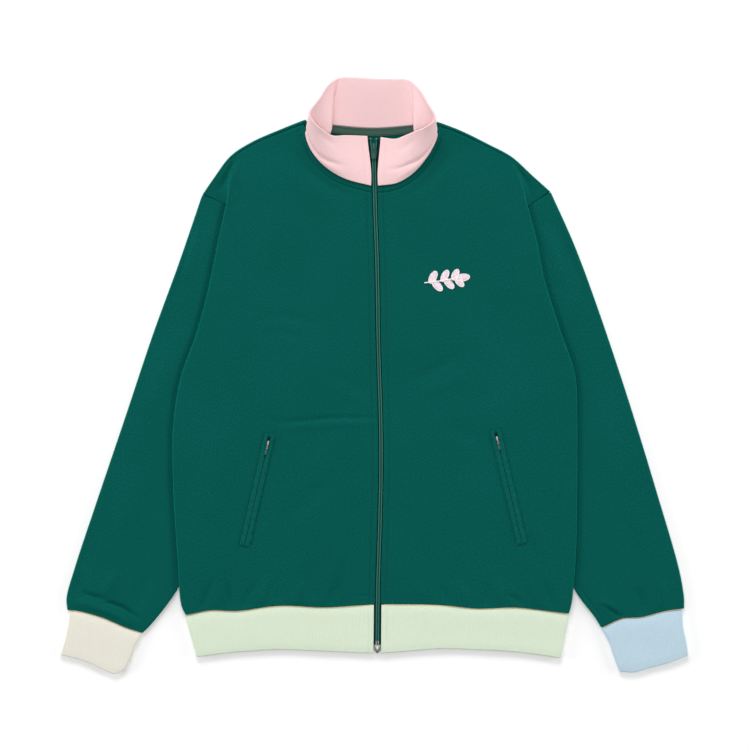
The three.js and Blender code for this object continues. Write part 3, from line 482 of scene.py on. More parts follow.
def make_object(name, points, faces, material, cloth=None):
    """A smooth mesh object from points in millimetres and faces that all have four corners."""
    mesh = bpy.data.meshes.new(name)
    points = np.asarray(points, float)
    faces = np.asarray(faces, np.int32)
    mesh.vertices.add(len(points))
    mesh.vertices.foreach_set("co", (points * MM).ravel())
    mesh.loops.add(faces.size)
    mesh.loops.foreach_set("vertex_index", faces.ravel())
    mesh.polygons.add(len(faces))
    mesh.polygons.foreach_set("loop_start", np.arange(0, faces.size, 4, dtype=np.int32))
    mesh.polygons.foreach_set("use_smooth", np.ones(len(faces), bool))
    if cloth is not None:
        layer = mesh.attributes.new("cloth", "FLOAT_VECTOR", "POINT")
        layer.data.foreach_set("vector", np.asarray(cloth, float).ravel())
    mesh.update(calc_edges=True)
    mesh.validate()
    obj = bpy.data.objects.new(name, mesh)
    obj.data.materials.append(material)
    bpy.context.scene.collection.objects.link(obj)
    return obj


def grid_faces(rows, cols, ring=False):
    i = np.arange(rows - 1)[:, None]
    j = np.arange(cols if ring else cols - 1)[None, :]
    k = (j + 1) % cols
    faces = np.stack([i * cols + j + 0 * k, i * cols + k, (i + 1) * cols + k, (i + 1) * cols + j], axis=-1)
    return faces.reshape(-1, 4)


EDGE_STEPS = (0.13, 0.5, 1.0)  # rows added near an edge, in halves of the wall in from it
EDGE_SHARE = (0.18, 0.49, 0.87, 1.0)  # of the full thickness at the edge and at those rows


def with_round_edge(mid, half):
    """Rows added near both ends of a grid, and each row's share of the full thickness."""
    def near(first, second):
        gap = np.linalg.norm(second - first, axis=-1, keepdims=True)
        return [first + (second - first) * np.minimum(step * half / gap, 0.3 + 0.2 * k)
                for k, step in enumerate(EDGE_STEPS)]
    rows = [mid[0], *near(mid[0], mid[1]), *mid[1:-1], *near(mid[-1], mid[-2])[::-1], mid[-1]]
    share = np.ones(len(rows))
    share[:4] = EDGE_SHARE
    share[-4:] = EDGE_SHARE[::-1]
    return np.array(rows), share


def normals_of(mid, ring):
    if ring:
        across = np.roll(mid, -1, axis=1) - np.roll(mid, 1, axis=1)
    else:
        across = np.gradient(mid, axis=1)
    down = np.gradient(mid, axis=0)
    return unit(np.cross(across, down))


def shell(name, mid, thickness, material, ring=False):
    """A closed cloth wall about a grid of points, with rounded edges. Its cloth attribute holds the
    place in the flat piece: across, along and 0, in millimetres."""
    mid, row_share = with_round_edge(mid, thickness / 2)
    share = row_share[:, None] * np.ones(mid.shape[1])
    if not ring:
        turned, col_share = with_round_edge(mid.transpose(1, 0, 2), thickness / 2)
        mid = turned.transpose(1, 0, 2)
        share = np.minimum(row_share[:, None], col_share[None, :])
    normal = normals_of(mid, ring) * (share * thickness / 2)[..., None]
    rows, cols = mid.shape[:2]
    across = np.linalg.norm(np.diff(mid, axis=1, prepend=mid[:, :1]), axis=-1).mean(axis=0).cumsum()
    along = np.linalg.norm(np.diff(mid, axis=0, prepend=mid[:1]), axis=-1).mean(axis=1).cumsum()
    flat = np.zeros((rows, cols, 3))
    flat[..., 0] = across[None, :]
    flat[..., 1] = along[:, None]
    points = np.vstack([(mid + normal).reshape(-1, 3), (mid - normal).reshape(-1, 3)])
    count = rows * cols
    top = grid_faces(rows, cols, ring)
    faces = [top, top[:, ::-1] + count]
    last = cols if ring else cols - 1
    j = np.arange(last)
    k = (j + 1) % cols
    end = (rows - 1) * cols
    faces.append(np.stack([k, j, j + count, k + count], axis=-1))
    faces.append(np.stack([j, k, k + count, j + count], axis=-1) + end)
    if not ring:
        i = np.arange(rows - 1) * cols
        faces.append(np.stack([i, i + cols, i + cols + count, i + count], axis=-1))
        faces.append(np.stack([i + cols, i, i + count, i + cols + count], axis=-1) + cols - 1)
    return make_object(name, points, np.vstack(faces), material, np.vstack([flat.reshape(-1, 3)] * 2))


def tube_data(path, radius, sides=8, closed=False):
    """Points and faces of a tube along a path, whose radius may be one number or one a point."""
    path = np.asarray(path, float)
    count = len(path)
    if closed:
        ahead = unit(np.roll(path, -1, axis=0) - np.roll(path, 1, axis=0))
    else:
        ahead = unit(np.gradient(path, axis=0))
    up = np.array([0.0, 0.0, 1.0])
    side = unit(np.cross(ahead, up) + 1e-6)
    over = np.cross(ahead, side)
    angle = np.arange(sides) * 2 * math.pi / sides
    spread = np.broadcast_to(np.asarray(radius, float), (count,))[:, None, None]
    ring = side[:, None] * np.cos(angle)[None, :, None] + over[:, None] * np.sin(angle)[None, :, None]
    points = (path[:, None] + ring * spread).reshape(-1, 3)
    if closed:
        return points, grid_faces(count + 1, sides, ring=True) % (count * sides)
    faces = [grid_faces(count, sides, ring=True)]
    half = sides // 2
    for start, order in ((0, 1), ((count - 1) * sides, -1)):
        for k in range(half - 1):
            cap = np.array([[k, k + 1, sides - 2 - k, sides - 1 - k]])
            faces.append(cap[:, ::order] + start)
    return points, np.vstack(faces)


def joined(parts):
    """Several (points, faces) as one."""
    points = []
    faces = []
    first = 0
    for part_points, part_faces in parts:
        points.append(part_points)
        faces.append(part_faces + first)
        first += len(part_points)
    return np.vstack(points), np.vstack(faces)


def repeated(part, places, headings):
    """Copies of one (points, faces) at places, each turned about Z by its heading."""
    points, faces = part
    places = np.asarray(places, float)
    headings = np.asarray(headings, float)
    c = np.cos(headings)[:, None]
    s = np.sin(headings)[:, None]
    x = points[None, :, 0] * c - points[None, :, 1] * s
    y = points[None, :, 0] * s + points[None, :, 1] * c
    z = np.broadcast_to(points[None, :, 2], x.shape)
    all_points = np.stack([x, y, z], axis=-1) + places[:, None]
    all_faces = faces[None] + (np.arange(len(places)) * len(points))[:, None, None]
    return all_points.reshape(-1, 3), all_faces.reshape(-1, 4)


def plate_data(outline, low, high, bevel):
    """Points and faces of a plate with rounded upper and lower edges, from an outline that can be
    shrunk towards its middle."""
    outline = as_points(outline)
    middle = outline.mean(axis=0)
    reach = np.linalg.norm(outline - middle, axis=1, keepdims=True)
    levels = [(low, 1.0), (low, 0.25), (low + bevel * 0.3, 0.08), (low + bevel, 0)]
    levels += [(high - bevel, 0), (high - bevel * 0.3, 0.08), (high, 0.25), (high, 1.0)]
    rings = []
    for z, inset in levels:
        shrink = 1 - np.minimum(bevel * inset * 4, reach) / reach if inset < 1 else 0 * reach + 0.02
        ring = middle + (outline - middle) * shrink
        ring[:, 2] = z
        rings.append(ring)
    points = np.vstack(rings)
    return points, grid_faces(len(rings), len(outline), ring=True)


def rounded_outline(points, samples=6):
    """A closed outline with its corners rounded by a smooth curve."""
    p = as_points(points)
    out = []
    for k in range(len(p)):
        before = mix(p[k], p[k - 1], 0.3)
        after = mix(p[k], p[(k + 1) % len(p)], 0.3)
        for s in np.linspace(0, 1, samples):
            out.append((1 - s) ** 2 * before + 2 * s * (1 - s) * p[k] + s * s * after)
    return np.array(out)


def move(part, place, heading=0.0):
    return repeated(part, [place], [heading])


# ---- Materials ----

def linear(rgb):
    def channel(c):
        c = c / 255
        return c / 12.92 if c <= 0.04045 else ((c + 0.055) / 1.055) ** 2.4
    return (*(channel(c) for c in rgb), 1.0)


class Nodes:
    """Short ways to add nodes to one material."""

    def __init__(self, name):
        self.material = bpy.data.materials.new(name)
        self.material.use_nodes = True
        self.tree = self.material.node_tree
        self.shader = self.tree.nodes["Principled BSDF"]

    def add(self, kind, settings=None, **inputs):
        node = self.tree.nodes.new(kind)
        for key, value in (settings or {}).items():
            setattr(node, key, value)
        for key, value in inputs.items():
            self.plug(node, key.replace("_", " "), value)
        return node

    def plug(self, node, socket, value):
        target = node.inputs[int(socket) if socket.isdigit() else socket]
        if isinstance(value, bpy.types.NodeSocket):
            self.tree.links.new(value, target)
        else:
            target.default_value = value

    def set(self, **inputs):
        for key, value in inputs.items():
            self.plug(self.shader, key.replace("_", " "), value)

    def maths(self, operation, a, b=0.0):
        node = self.tree.nodes.new("ShaderNodeMath")
        node.operation = operation
        self.plug(node, "0", a)
        self.plug(node, "1", b)
        return node.outputs[0]

    def noise(self, vector, scale, detail=2.0, roughness=0.5):
        return self.add("ShaderNodeTexNoise", Vector=vector, Scale=scale, Detail=detail,
                        Roughness=roughness).outputs["Fac"]

    def bands(self, vector, direction, pitch, distortion=0.0):
        """A wave with crests pitch apart along one axis of a vector."""
        settings = {"wave_type": "BANDS", "bands_direction": direction, "wave_profile": "SIN"}
        return self.add("ShaderNodeTexWave", settings, Vector=vector, Scale=math.pi / 10 / pitch,
                        Distortion=distortion).outputs["Fac"]

    def ramp(self, factor, stops):
        node = self.add("ShaderNodeValToRGB", Fac=factor)
        elements = node.color_ramp.elements
        while len(elements) < len(stops):
            elements.new(0.5)
        for element, (position, colour) in zip(elements, stops):
            element.position = position
            element.color = colour
        return node.outputs["Color"]

    def bump(self, height, distance):
        return self.add("ShaderNodeBump", Height=height, Distance=distance,
                        Strength=1.0).outputs["Normal"]


def shade(rgb, factor):
    return linear(tuple(min(255, c * factor) for c in rgb))


def cloth_material(name, rgb, wale, course, relief, mottle=0.27, sheen=0.62, rib=0.0):
    """Knitted cloth: wales and courses as fine bump, mottled yarn, and broad soft variation.
    rib is the share of the bump that comes from wide ribs of 2.6 wales."""
    n = Nodes(name)
    place = n.add("ShaderNodeAttribute", {"attribute_name": "cloth"}).outputs["Vector"]
    world = n.add("ShaderNodeTexCoord").outputs["Object"]
    yarn = n.noise(place, 0.5 / wale, detail=4.0, roughness=0.75)
    broad = n.noise(world, 9.0, detail=3.0)
    tone = n.maths("ADD", n.maths("MULTIPLY", yarn, 0.92), n.maths("MULTIPLY", broad, 0.08))
    stops = [(0.25, shade(rgb, 1 - mottle)), (0.5, linear(rgb)), (0.75, shade(rgb, 1 + mottle))]
    colour = n.ramp(tone, stops)
    wales = n.bands(place, "X", wale, 0.6)
    courses = n.bands(place, "Y", course, 0.8)
    height = n.maths("ADD", n.maths("MULTIPLY", wales, 0.6), n.maths("MULTIPLY", courses, 0.4))
    height = n.maths("ADD", height, n.maths("MULTIPLY", yarn, 0.8))
    if rib:
        height = n.maths("ADD", height, n.maths("MULTIPLY", n.bands(place, "X", wale * 2.6), rib))
    roughness = n.maths("ADD", n.maths("MULTIPLY", yarn, 0.12), 0.82)
    n.set(Base_Color=colour, Roughness=roughness, Normal=n.bump(height, relief * MM))
    n.set(Specular_IOR_Level=0.02, Sheen_Weight=sheen, Sheen_Roughness=0.42, Sheen_Tint=shade(rgb, 3.1))
    return n.material


def tape_material(name, rgb, pitch):
    """Woven tape with ribs across it."""
    n = Nodes(name)
    place = n.add("ShaderNodeAttribute", {"attribute_name": "cloth"}).outputs["Vector"]
    weft = n.bands(place, "X", pitch, 0.3)
    warp = n.bands(place, "Y", pitch * 0.7, 0.3)
    weave = n.maths("MULTIPLY", weft, warp)
    yarn = n.noise(place, 1.6, detail=3.0)
    tone = n.maths("ADD", n.maths("MULTIPLY", weave, 0.5), n.maths("MULTIPLY", yarn, 0.5))
    colour = n.ramp(tone, [(0.2, shade(rgb, 0.72)), (0.55, linear(rgb)), (0.85, shade(rgb, 1.15))])
    n.set(Base_Color=colour, Roughness=0.8, Normal=n.bump(weave, 0.25 * MM))
    n.set(Specular_IOR_Level=0.15)
    return n.material


def zip_tape_material(name, band_rgb, painted_shade_rgb):
    """Zip tape with a light band that covers the coil, between a shaded middle and a dark border, both
    painted shade; the border stands for the shade where the fronts' edges overhang the tape.
    """
    n = Nodes(name)
    place = n.add("ShaderNodeAttribute", {"attribute_name": "cloth"}).outputs["Vector"]
    across = n.add("ShaderNodeSeparateXYZ", Vector=place).outputs["Y"]
    dark = linear(painted_shade_rgb)
    light = linear(band_rgb)
    # painted shade: the tape's middle and its border are darkened in the colour
    stops = [(0.12, shade(painted_shade_rgb, 1.7)), (0.22, light), (0.5, light), (0.57, dark)]
    colour = n.ramp(n.maths("DIVIDE", across, ZIP_BAND_SPAN), stops)
    weft = n.bands(place, "X", 0.8, 0.3)
    n.set(Base_Color=colour, Roughness=0.8, Normal=n.bump(weft, 0.2 * MM))
    n.set(Specular_IOR_Level=0.08)
    return n.material


def hard_material(name, rgb, metallic, roughness, grain, level=0.5, wear=0.12):
    """Nylon, paint or metal: fine grain in the roughness, slight wear in the colour."""
    n = Nodes(name)
    world = n.add("ShaderNodeTexCoord").outputs["Object"]
    fine = n.noise(world, grain, detail=3.0)
    patches = n.noise(world, grain / 6, detail=2.0)
    stops = [(0.3, shade(rgb, 1 - wear)), (0.55, linear(rgb)), (0.8, shade(rgb, 1 + wear))]
    colour = n.ramp(patches, stops)
    rough = n.maths("ADD", n.maths("MULTIPLY", fine, 0.2), roughness - 0.1)
    n.set(Base_Color=colour, Roughness=rough, Metallic=metallic, Normal=n.bump(fine, 0.03 * MM))
    n.set(Specular_IOR_Level=level)
    return n.material


def thread_material(name, rgb, twist):
    """Sewing or embroidery thread: strands twisted round each other."""
    n = Nodes(name)
    world = n.add("ShaderNodeTexCoord").outputs["Object"]
    strands = n.bands(world, "DIAGONAL", twist * MM, 0.5)
    tone = n.noise(world, 300.0, detail=2.0)
    colour = n.ramp(tone, [(0.3, shade(rgb, 0.93)), (0.55, linear(rgb)), (0.8, shade(rgb, 1.05))])
    n.set(Base_Color=colour, Roughness=0.6, Normal=n.bump(strands, 0.06 * MM))
    n.set(Specular_IOR_Level=0.08)
    return n.material


green_knit = cloth_material("green_double_knit", GREEN, wale=0.9, course=0.75, relief=0.05)
pink_knit = cloth_material("pink_double_knit", PINK, wale=0.9, course=0.75, relief=0.06,
                           mottle=0.04, sheen=0.1)
mint_rib, cream_rib, blue_rib = (
    cloth_material(name, rgb, wale=0.9, course=0.8, relief=0.09, mottle=0.04, sheen=0.08, rib=1.2)
    for name, rgb in (("mint_rib", MINT), ("cream_rib", CREAM), ("blue_rib", BLUE))
)
tape_weave = tape_material("neck_tape_weave", TAPE_GREEN, pitch=1.1)
zip_weave = zip_tape_material("zip_tape_weave", ZIP_GREEN, PAINTED_SHADE_GREEN)
nylon_coil = hard_material("nylon_coil", COIL_GREEN, metallic=0.0, roughness=0.45, grain=900.0, level=0.35)
dark_nylon = hard_material("dark_nylon", DARK_GREEN, metallic=0.0, roughness=0.5, grain=900.0, level=0.3)
green_paint = hard_material("slider_paint", PAINT_GREEN, metallic=0.0, roughness=0.45, grain=700.0, level=0.3)
nickel = hard_material("bright_nickel", METAL, metallic=1.0, roughness=0.35, grain=800.0)
green_thread = thread_material("green_thread", GREEN_THREAD, twist=0.4)
dark_thread = thread_material("dark_thread", DARK_THREAD, twist=0.4)
tan_thread = thread_material("tan_thread", TAN_THREAD, twist=0.4)
pink_thread = thread_material("pink_thread", PINK_THREAD, twist=0.4)
mint_thread = thread_material("mint_thread", MINT_THREAD, twist=0.4)
motif_thread = thread_material("embroidery_thread", THREAD_LILAC, twist=0.5)
motif_edge = thread_material("embroidery_edge", THREAD_EDGE, twist=0.5)
# Painted highlight: a lighter copy of the green knit for the raised pocket lips
lit_lip_knit = cloth_material("green_knit_lips_painted_highlight", LIT_LIP_GREEN, wale=0.9, course=0.75, relief=0.05)
# A real pocket zip tape, but its dark colour is painted shade for the shade inside the slit
pocket_tape_painted_shade = tape_material("pocket_tape_weave", PAINTED_SHADE_GREEN, pitch=0.8)


def place(obj, body, slot, *nodes):
    """Puts a finished piece on its body and hides the model's nodes it stands for; slot, its finish, is not
    used.
    """
    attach(obj, body)
    if nodes:
        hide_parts(*nodes)


def fit(name, data, material, slot, *nodes, body="jacket"):
    """Makes a part from points and faces, on a body, for the nodes it stands for."""
    place(make_object(name, *data, material), body, slot, *nodes)


def sew(name, mid, thickness, material, slot, cut, *on, nodes=(), ring=False):
    """Makes a piece of cloth on the jacket and hides the model's nodes it stands for; on, the pieces it lies
    on, is not used.
    """
    obj = shell(name, mid, thickness, material, ring)
    place(obj, "jacket", slot, *nodes)


# ---- Camera ----

camera = bpy.data.objects.new("camera", bpy.data.cameras.new("camera"))
CAMERA_HEIGHT = 3.0
FRAME_WIDTH = 0.990
camera.data.sensor_width = 36
camera.data.lens = 36 * CAMERA_HEIGHT / FRAME_WIDTH
camera.data.clip_end = 20
camera.location = (0.0011, -0.0002, CAMERA_HEIGHT)
bpy.context.scene.collection.objects.link(camera)
bpy.context.scene.camera = camera


# ---- Fronts ----

zip_line = curve(ZIP_LINE)


def zip_edge_x(side, y):
    return x_at(zip_line, y) + side["sign"] * ZIP_HALF


def shoulder_seam(side):
    """The shoulder seam runs along the shoulder's fold, a few millimetres in front of it."""
    edge = side_curve(side, side["shoulder_edge"])

    def at(t):
        inset = mix(SEAM_INSET["neck"], SEAM_INSET["arm"], smooth(np.asarray(t, float) / 0.5))
        return edge(t) + right_of(edge, t) * (side["sign"] * inset)[..., None]
    return at


def front_lines(side):
    """The edges and the inner fold line of a front, as curves."""
    sign = side["sign"]
    neck = side_curve(side, [(sign * zip_edge_x(side, NECK_Y), NECK_Y), *side["neckline"]])
    seam = shoulder_seam(side)
    start = seam(np.float64(RIDGE_AT))
    ridge = side_curve(side, [(sign * start[0], start[1]), *side["ridge"]])
    hem = [side["fold"][-1], *side["hem"][1:], (sign * zip_edge_x(side, HEM_Y), HEM_Y)]
    tuck = (side["arm_top"][-1][0] - 5, side["arm_top"][-1][1] - 3)
    seam_top = side_curve(side, [*side["arm_top"][:2], tuck])
    hidden = side_curve(side, [tuck, *side["armhole"][1:], *side["side_seam"][1:]])
    shares = [RIDGE_ROWS, ARMHOLE_ROWS + SIDE_ROWS]
    return {
        "neck": neck,
        "top": chain([neck, part_of(seam, SEAM_START, RIDGE_AT)], [NECK_COLS, SHOULDER_COLS]),
        "fold": chain([ridge, side_curve(side, side["fold"])], shares),
        "hem": backwards(side_curve(side, hem)),
        "outer": chain([seam_top, hidden], shares),
        "shoulder_end": part_of(seam, RIDGE_AT, 0.985),
    }


def zip_edge(side):
    def at(v):
        y = mix(NECK_Y, HEM_Y, np.asarray(v, float))
        return np.stack([zip_edge_x(side, y), y, np.zeros(y.shape)], axis=-1)
    return at


def front_surface(side):
    """A front's grid: columns from the zip to the side fold, then those that turn under it."""
    lines = front_lines(side)
    fine = np.arange(0, 16) / 215
    u = np.concatenate([fine, np.linspace(fine[-1], 0.9, 62)[1:], np.linspace(0.9, 1, 16)[1:]])
    v = np.concatenate([np.arange(0, 15) / 550, np.linspace(14 / 550, 1 / 6, 34)[1:],
                        np.linspace(1 / 6, 0.95, 130)[1:], np.linspace(0.95, 1, 24)[1:]])
    main = patch(lines["top"], lines["hem"], zip_edge(side), lines["fold"], u, v)
    row = v[:, None] * ALL_ROWS
    settled = smooth(row / RIDGE_ROWS)
    edge_z = mix(NECK_Z, SHOULDER_Z, smooth((u * (NECK_COLS + SHOULDER_COLS) - NECK_COLS) / 2))
    fold_z = mix(FOLD_Z, HEM_FOLD_Z, smooth((v - 0.9) / 0.1))[:, None]
    inner_z = mix(FRONT_Z, fold_z, smooth((u[None] - 0.6) / 0.4))
    main[..., 2] = mix(edge_z[None], inner_z, settled)
    main[-1, :, 1] += SEAM_GAP / 2
    relief = creases(main, FRONT_CREASES[side["name"]])
    relief = relief + swell(main, FRONT_WAVES)
    free = smooth(v / 0.05) * smooth((1 - v) / 0.012)
    main[..., 2] += relief * free[:, None] * smooth((1.02 - u) / 0.12)[None]
    seam_line = lines["top"](np.linspace(NECK_COLS / (NECK_COLS + SHOULDER_COLS), 1, 40))
    main[..., 2] += groove(main, seam_line, 0.0, SHOULDER_FURROW)
    neck_line = lines["neck"](np.linspace(0, 1, 50))
    main[..., 2] += groove(main, neck_line, TOPSTITCH_INSET["neck"], NECK_FURROW)
    zip_gap = np.abs(main[..., 0] - zip_edge_x(side, main[..., 1]))
    main[..., 2] += dip(zip_gap - TOPSTITCH_INSET["zip"], *ZIP_STITCH_FURROW)
    main[..., 2] += dip(zip_gap, *ZIP_EDGE_FURROW)
    slit = as_points([(side["sign"] * x, y) for x, y in (side["pocket_bottom"], side["pocket_top"])])
    main[..., 2] += groove(main, slit, POCKET["width"] + 0.7, POCKET_FURROW)

    ridge = main[:, -1].copy()
    curling = smooth((row - 1.15) / 0.85)
    radius = np.maximum(0.9, (ridge[:, 2] - FLAP_Z) / 2)
    outward = right_of(lines["fold"], v) * -side["sign"]
    main[:, -1] -= outward * (radius * curling[:, 0])[:, None]
    squeeze = smooth((u - 0.9) / 0.1) ** 2
    main[:, :-1] -= (outward[:, None] * (radius * curling[:, 0])[:, None, None] * squeeze[None, :-1, None])
    ridge = main[:, -1].copy()
    edge = lines["outer"](v)
    share = np.linspace(0, 1, 31)[1:]
    turned = []
    for s in share:
        k = s * TURN_COLS
        lerped = mix(ridge, edge, s)
        along_top = lines["shoulder_end"](np.full(1, s))[0]
        top_pull = np.clip(1 - row, 0, 1) ** 1.5
        opened = mix(lerped, lerped + (along_top - lerped[0]), top_pull)
        opened[:, 2] = mix(ridge[:, 2], FLAP_Z + 0.1, smooth(k / mix(1.5, 3.0, top_pull[:, 0])))
        angle = min(k, 4) * math.pi / 4
        curled = ridge + outward * (radius * math.sin(angle))[:, None]
        curled[:, 2] = ridge[:, 2] - radius + radius * math.cos(angle)
        under = max(0.0, (k - 4) / 2)
        curled[:, :2] = mix(curled[:, :2], edge[:, :2], under)
        turned.append(mix(opened, curled, curling))
    grid = np.concatenate([main, np.stack(turned, axis=1)], axis=1)
    drop = creases(grid, DROP_CREASES[side["name"]]) * smooth((RIDGE_ROWS + 0.6 - row) / 0.8)
    grid[..., 2] += drop * smooth(v / 0.03)[:, None]
    return grid


class Ground:
    """Looks up the height of a panel's upper face at a place."""

    def __init__(self, mid, wall):
        points = mid.reshape(-1, 3)
        self.heights = points[:, 2] + wall / 2
        self.tree = KDTree(len(points))
        for k, p in enumerate(points):
            self.tree.insert((p[0], p[1], 0), k)
        self.tree.balance()

    def __call__(self, x, y):
        found = self.tree.find_n((x, y, 0), 4)
        weights = [1 / (gap + 0.05) ** 2 for _, _, gap in found]
        return sum(w * self.heights[k] for w, (_, k, _) in zip(weights, found)) / sum(weights)

    def lift(self, line, above):
        """A line of points in plan laid on the panel."""
        return np.array([(p[0], p[1], self(p[0], p[1]) + above) for p in line])


front_grids = {side["name"]: front_surface(side) for side in SIDES}
grounds = {}
for side in SIDES:
    name = side["name"]
    grounds[name] = Ground(front_grids[name][:, :FRONT_COLUMNS], KNIT)
    sew(f"front_{name}_cloth", front_grids[name], KNIT, green_knit, "green_knit", f"front_{name}",
        "back_cloth", f"sleeve_{name}_cloth", nodes=[f"front_{name}"])


# ---- Back ----

def back_surface():
    """The back's grid. Its shoulder edges roll over the shoulder fold to the seam in front."""
    radius = (SHOULDER_Z - BACK_Z) / 2
    columns = SHOULDER_COLS + TURN_COLS
    shares = [SHOULDER_COLS, TURN_COLS]

    def split(line):
        return chain([part_of(line, 0, RIDGE_AT), part_of(line, RIDGE_AT, 1)], shares)

    edges = {side["name"]: split(side_curve(side, side["shoulder_edge"])) for side in SIDES}
    seams = {side["name"]: split(shoulder_seam(side)) for side in SIDES}
    sides = [chain([side_curve(side, side[key]) for key in ("arm_top", "armhole", "side_seam")],
                   [RIDGE_ROWS, ARMHOLE_ROWS, SIDE_ROWS]) for side in SIDES]
    top = chain([backwards(edges["right"]), curve(BACK_NECK), edges["left"]], [columns, 6, columns])
    hem = curve([(-224, -305), (-120, -304), (0, -303), (120, -304), (228, -305)])
    total = 2 * columns + 6
    u = np.concatenate([np.linspace(0, columns, 56), np.linspace(columns, columns + 6, 34)[1:-1],
                        np.linspace(columns + 6, total, 56)]) / total
    v = np.linspace(0, 1, 100)[1:]
    main = patch(top, hem, *sides, u, v)
    main[..., 2] = BACK_Z
    edge = top(u)
    outward = -right_of(top, u)
    on_neck = (u * total > columns + 1e-6) & (u * total < columns + 6 - 1e-6)
    from_neck = np.clip((np.abs(u * total - total / 2) - 3) / columns, 0, 1)
    seam = np.where((u < 0.5)[:, None], seams["right"](from_neck), seams["left"](from_neck))
    seam = seam + outward * SEAM_GAP
    seam[:, 2] = SHOULDER_Z - 1.3
    edge[:, 2] = BACK_Z
    rows = [np.where(on_neck[:, None], edge, seam)]
    for angle in np.linspace(math.pi, 0, 11):
        rolled = edge + outward * radius * (math.sin(angle) - 1)
        rolled[:, 2] = BACK_Z + radius - radius * math.cos(angle)
        flat = edge - outward * (1 + 4 * (1 - angle / math.pi))
        flat[:, 2] = BACK_Z
        rows.append(np.where(on_neck[:, None], flat, rolled))
    return np.concatenate([np.stack(rows), main], axis=0)


sew("back_cloth", back_surface(), KNIT, green_knit, "green_knit", "back", "floor", nodes=["back"])


# ---- Sleeves and cuffs ----

def tube_turns(flat, upper_z, lower_z):
    """Turns round a flattened tube: upper layer, rolled edge, lower layer, rolled edge.
    flat is the grid of the layer in plan and upper_z the heights of the upper one."""
    cols = flat.shape[1]
    w = np.linspace(0, 1, cols)
    inward = [unit(flat[:, 3] - flat[:, 0]), unit(flat[:, -4] - flat[:, -1])]
    radius = [(upper_z[:, 0] - lower_z) / 2, (upper_z[:, -1] - lower_z) / 2]
    squeezed = flat.copy()
    for k, near in enumerate(((1 - w) ** 10, w ** 10)):
        squeezed += inward[k][:, None] * radius[k][:, None, None] * near[None, :, None]
    upper = squeezed.copy()
    upper[..., 2] = upper_z
    lower = squeezed[:, ::-2].copy()
    lower[..., 2] = lower_z

    def roll(k, angles):
        edge = flat[:, 0] if k == 0 else flat[:, -1]
        out = []
        for angle in angles:
            p = edge + inward[k] * (radius[k] * (1 - math.sin(angle)))[:, None]
            p[:, 2] = lower_z + radius[k] + radius[k] * math.cos(angle)
            out.append(p)
        return np.stack(out, axis=1)

    down = np.linspace(0, math.pi, ROLLS + 2)[1:-1]
    return np.concatenate([upper, roll(1, down), lower, roll(0, down[::-1])], axis=1)


def sleeve_surface(side):
    shift = np.array([side["sign"] * SEAM_GAP * 0.7, -SEAM_GAP, 0])
    seam = chain([side_curve(side, side["arm_top"]), side_curve(side, side["armhole"])],
                 [RIDGE_ROWS, ARMHOLE_ROWS])

    def armhole(w):
        w = np.asarray(w, float)
        return seam(w) + shift * (1 + 3 * w ** 8)[..., None]

    def starting(p, points):
        return side_curve(side, [(side["sign"] * p[0], p[1]), *points[1:]])

    s = np.concatenate([np.linspace(0, 0.04, 8), np.linspace(0.04, 0.9, 130)[1:],
                        np.linspace(0.9, 1, 32)[1:]])
    w = np.linspace(0, 1, 73)
    outer = starting(armhole(0.0), side["sleeve_outer"])
    inner = starting(armhole(1.0), side["sleeve_inner"])
    flat = patch(armhole, side_curve(side, side["cuff_seam"]), outer, inner, w, s)
    fold = side_curve(side, side["fold"])
    fold_x = x_at(fold, np.clip(flat[..., 1], side["fold"][-1][1], side["fold"][0][1]))
    clear = side["sign"] * (flat[..., 0] - fold_x)
    round_edge = np.minimum(smooth(w / 0.25), smooth((1 - w) / 0.25))[None]
    upper = mix(TUCK_Z, mix(EDGE_Z, SLEEVE_Z, round_edge), smooth(clear / 9))
    relief = creases(flat, SLEEVE_CREASES[side["name"]])
    relief = relief + swell(flat, SLEEVE_WAVES)
    ends = smooth(s / 0.03) * smooth((1 - s) / 0.01)
    upper = upper + relief * ends[:, None] * smooth((clear - 2) / 16) * smooth(w / 0.06)[None]
    return tube_turns(flat, upper, BACK_Z)


for side in SIDES:
    name = side["name"]
    sew(f"sleeve_{name}_cloth", sleeve_surface(side), KNIT, green_knit, "green_knit",
        f"sleeve_{name}", "floor", nodes=[f"sleeve_{name}"], ring=True)


def seam_allowance(side):
    """The sewn edges under the visible part of an armhole seam, pressed together."""
    along = side_curve(side, side["arm_top"])
    t = np.linspace(0.03, 1, 30)
    grid = np.stack([along(t) + right_of(along, t) * out for out in np.linspace(-3, 3, 5)])
    grid[..., 2] = (TUCK_Z + FLAP_Z) / 2 - 0.6
    return grid


for side in SIDES:
    name = side["name"]
    sew(f"armhole_allowance_{name}_cloth", seam_allowance(side), ALLOWANCE, green_knit, "green_knit",
        "armhole_allowance", f"sleeve_{name}_cloth")


def cuff_surface(side):
    between = [(x - 0.3, y - 1) for x, y in side["cuff_seam"][1:-1]]
    top = [side["cuff_outer"][0], *between, side["cuff_inner"][0]]
    w = np.linspace(0, 1, 91)
    s = np.linspace(0, 1, 44)
    flat = patch(side_curve(side, top), side_curve(side, side["cuff_bottom"]),
                 side_curve(side, side["cuff_outer"]), side_curve(side, side["cuff_inner"]), w, s)
    upper = np.full(flat.shape[:2], CUFF_Z)
    upper += swell(flat, CUFF_WAVES)
    sink_ends(upper, s)
    return tube_turns(flat, upper, RIB / 2)


CUFF_FINISH = {"right": (cream_rib, "cream_rib"), "left": (blue_rib, "blue_rib")}
for side in SIDES:
    name = side["name"]
    material, slot = CUFF_FINISH[name]
    sew(f"cuff_{name}_rib", cuff_surface(side), RIB, material, slot, f"cuff_{name}", "floor",
        nodes=[f"cuff_{name}"], ring=True)


# ---- Hem band ----

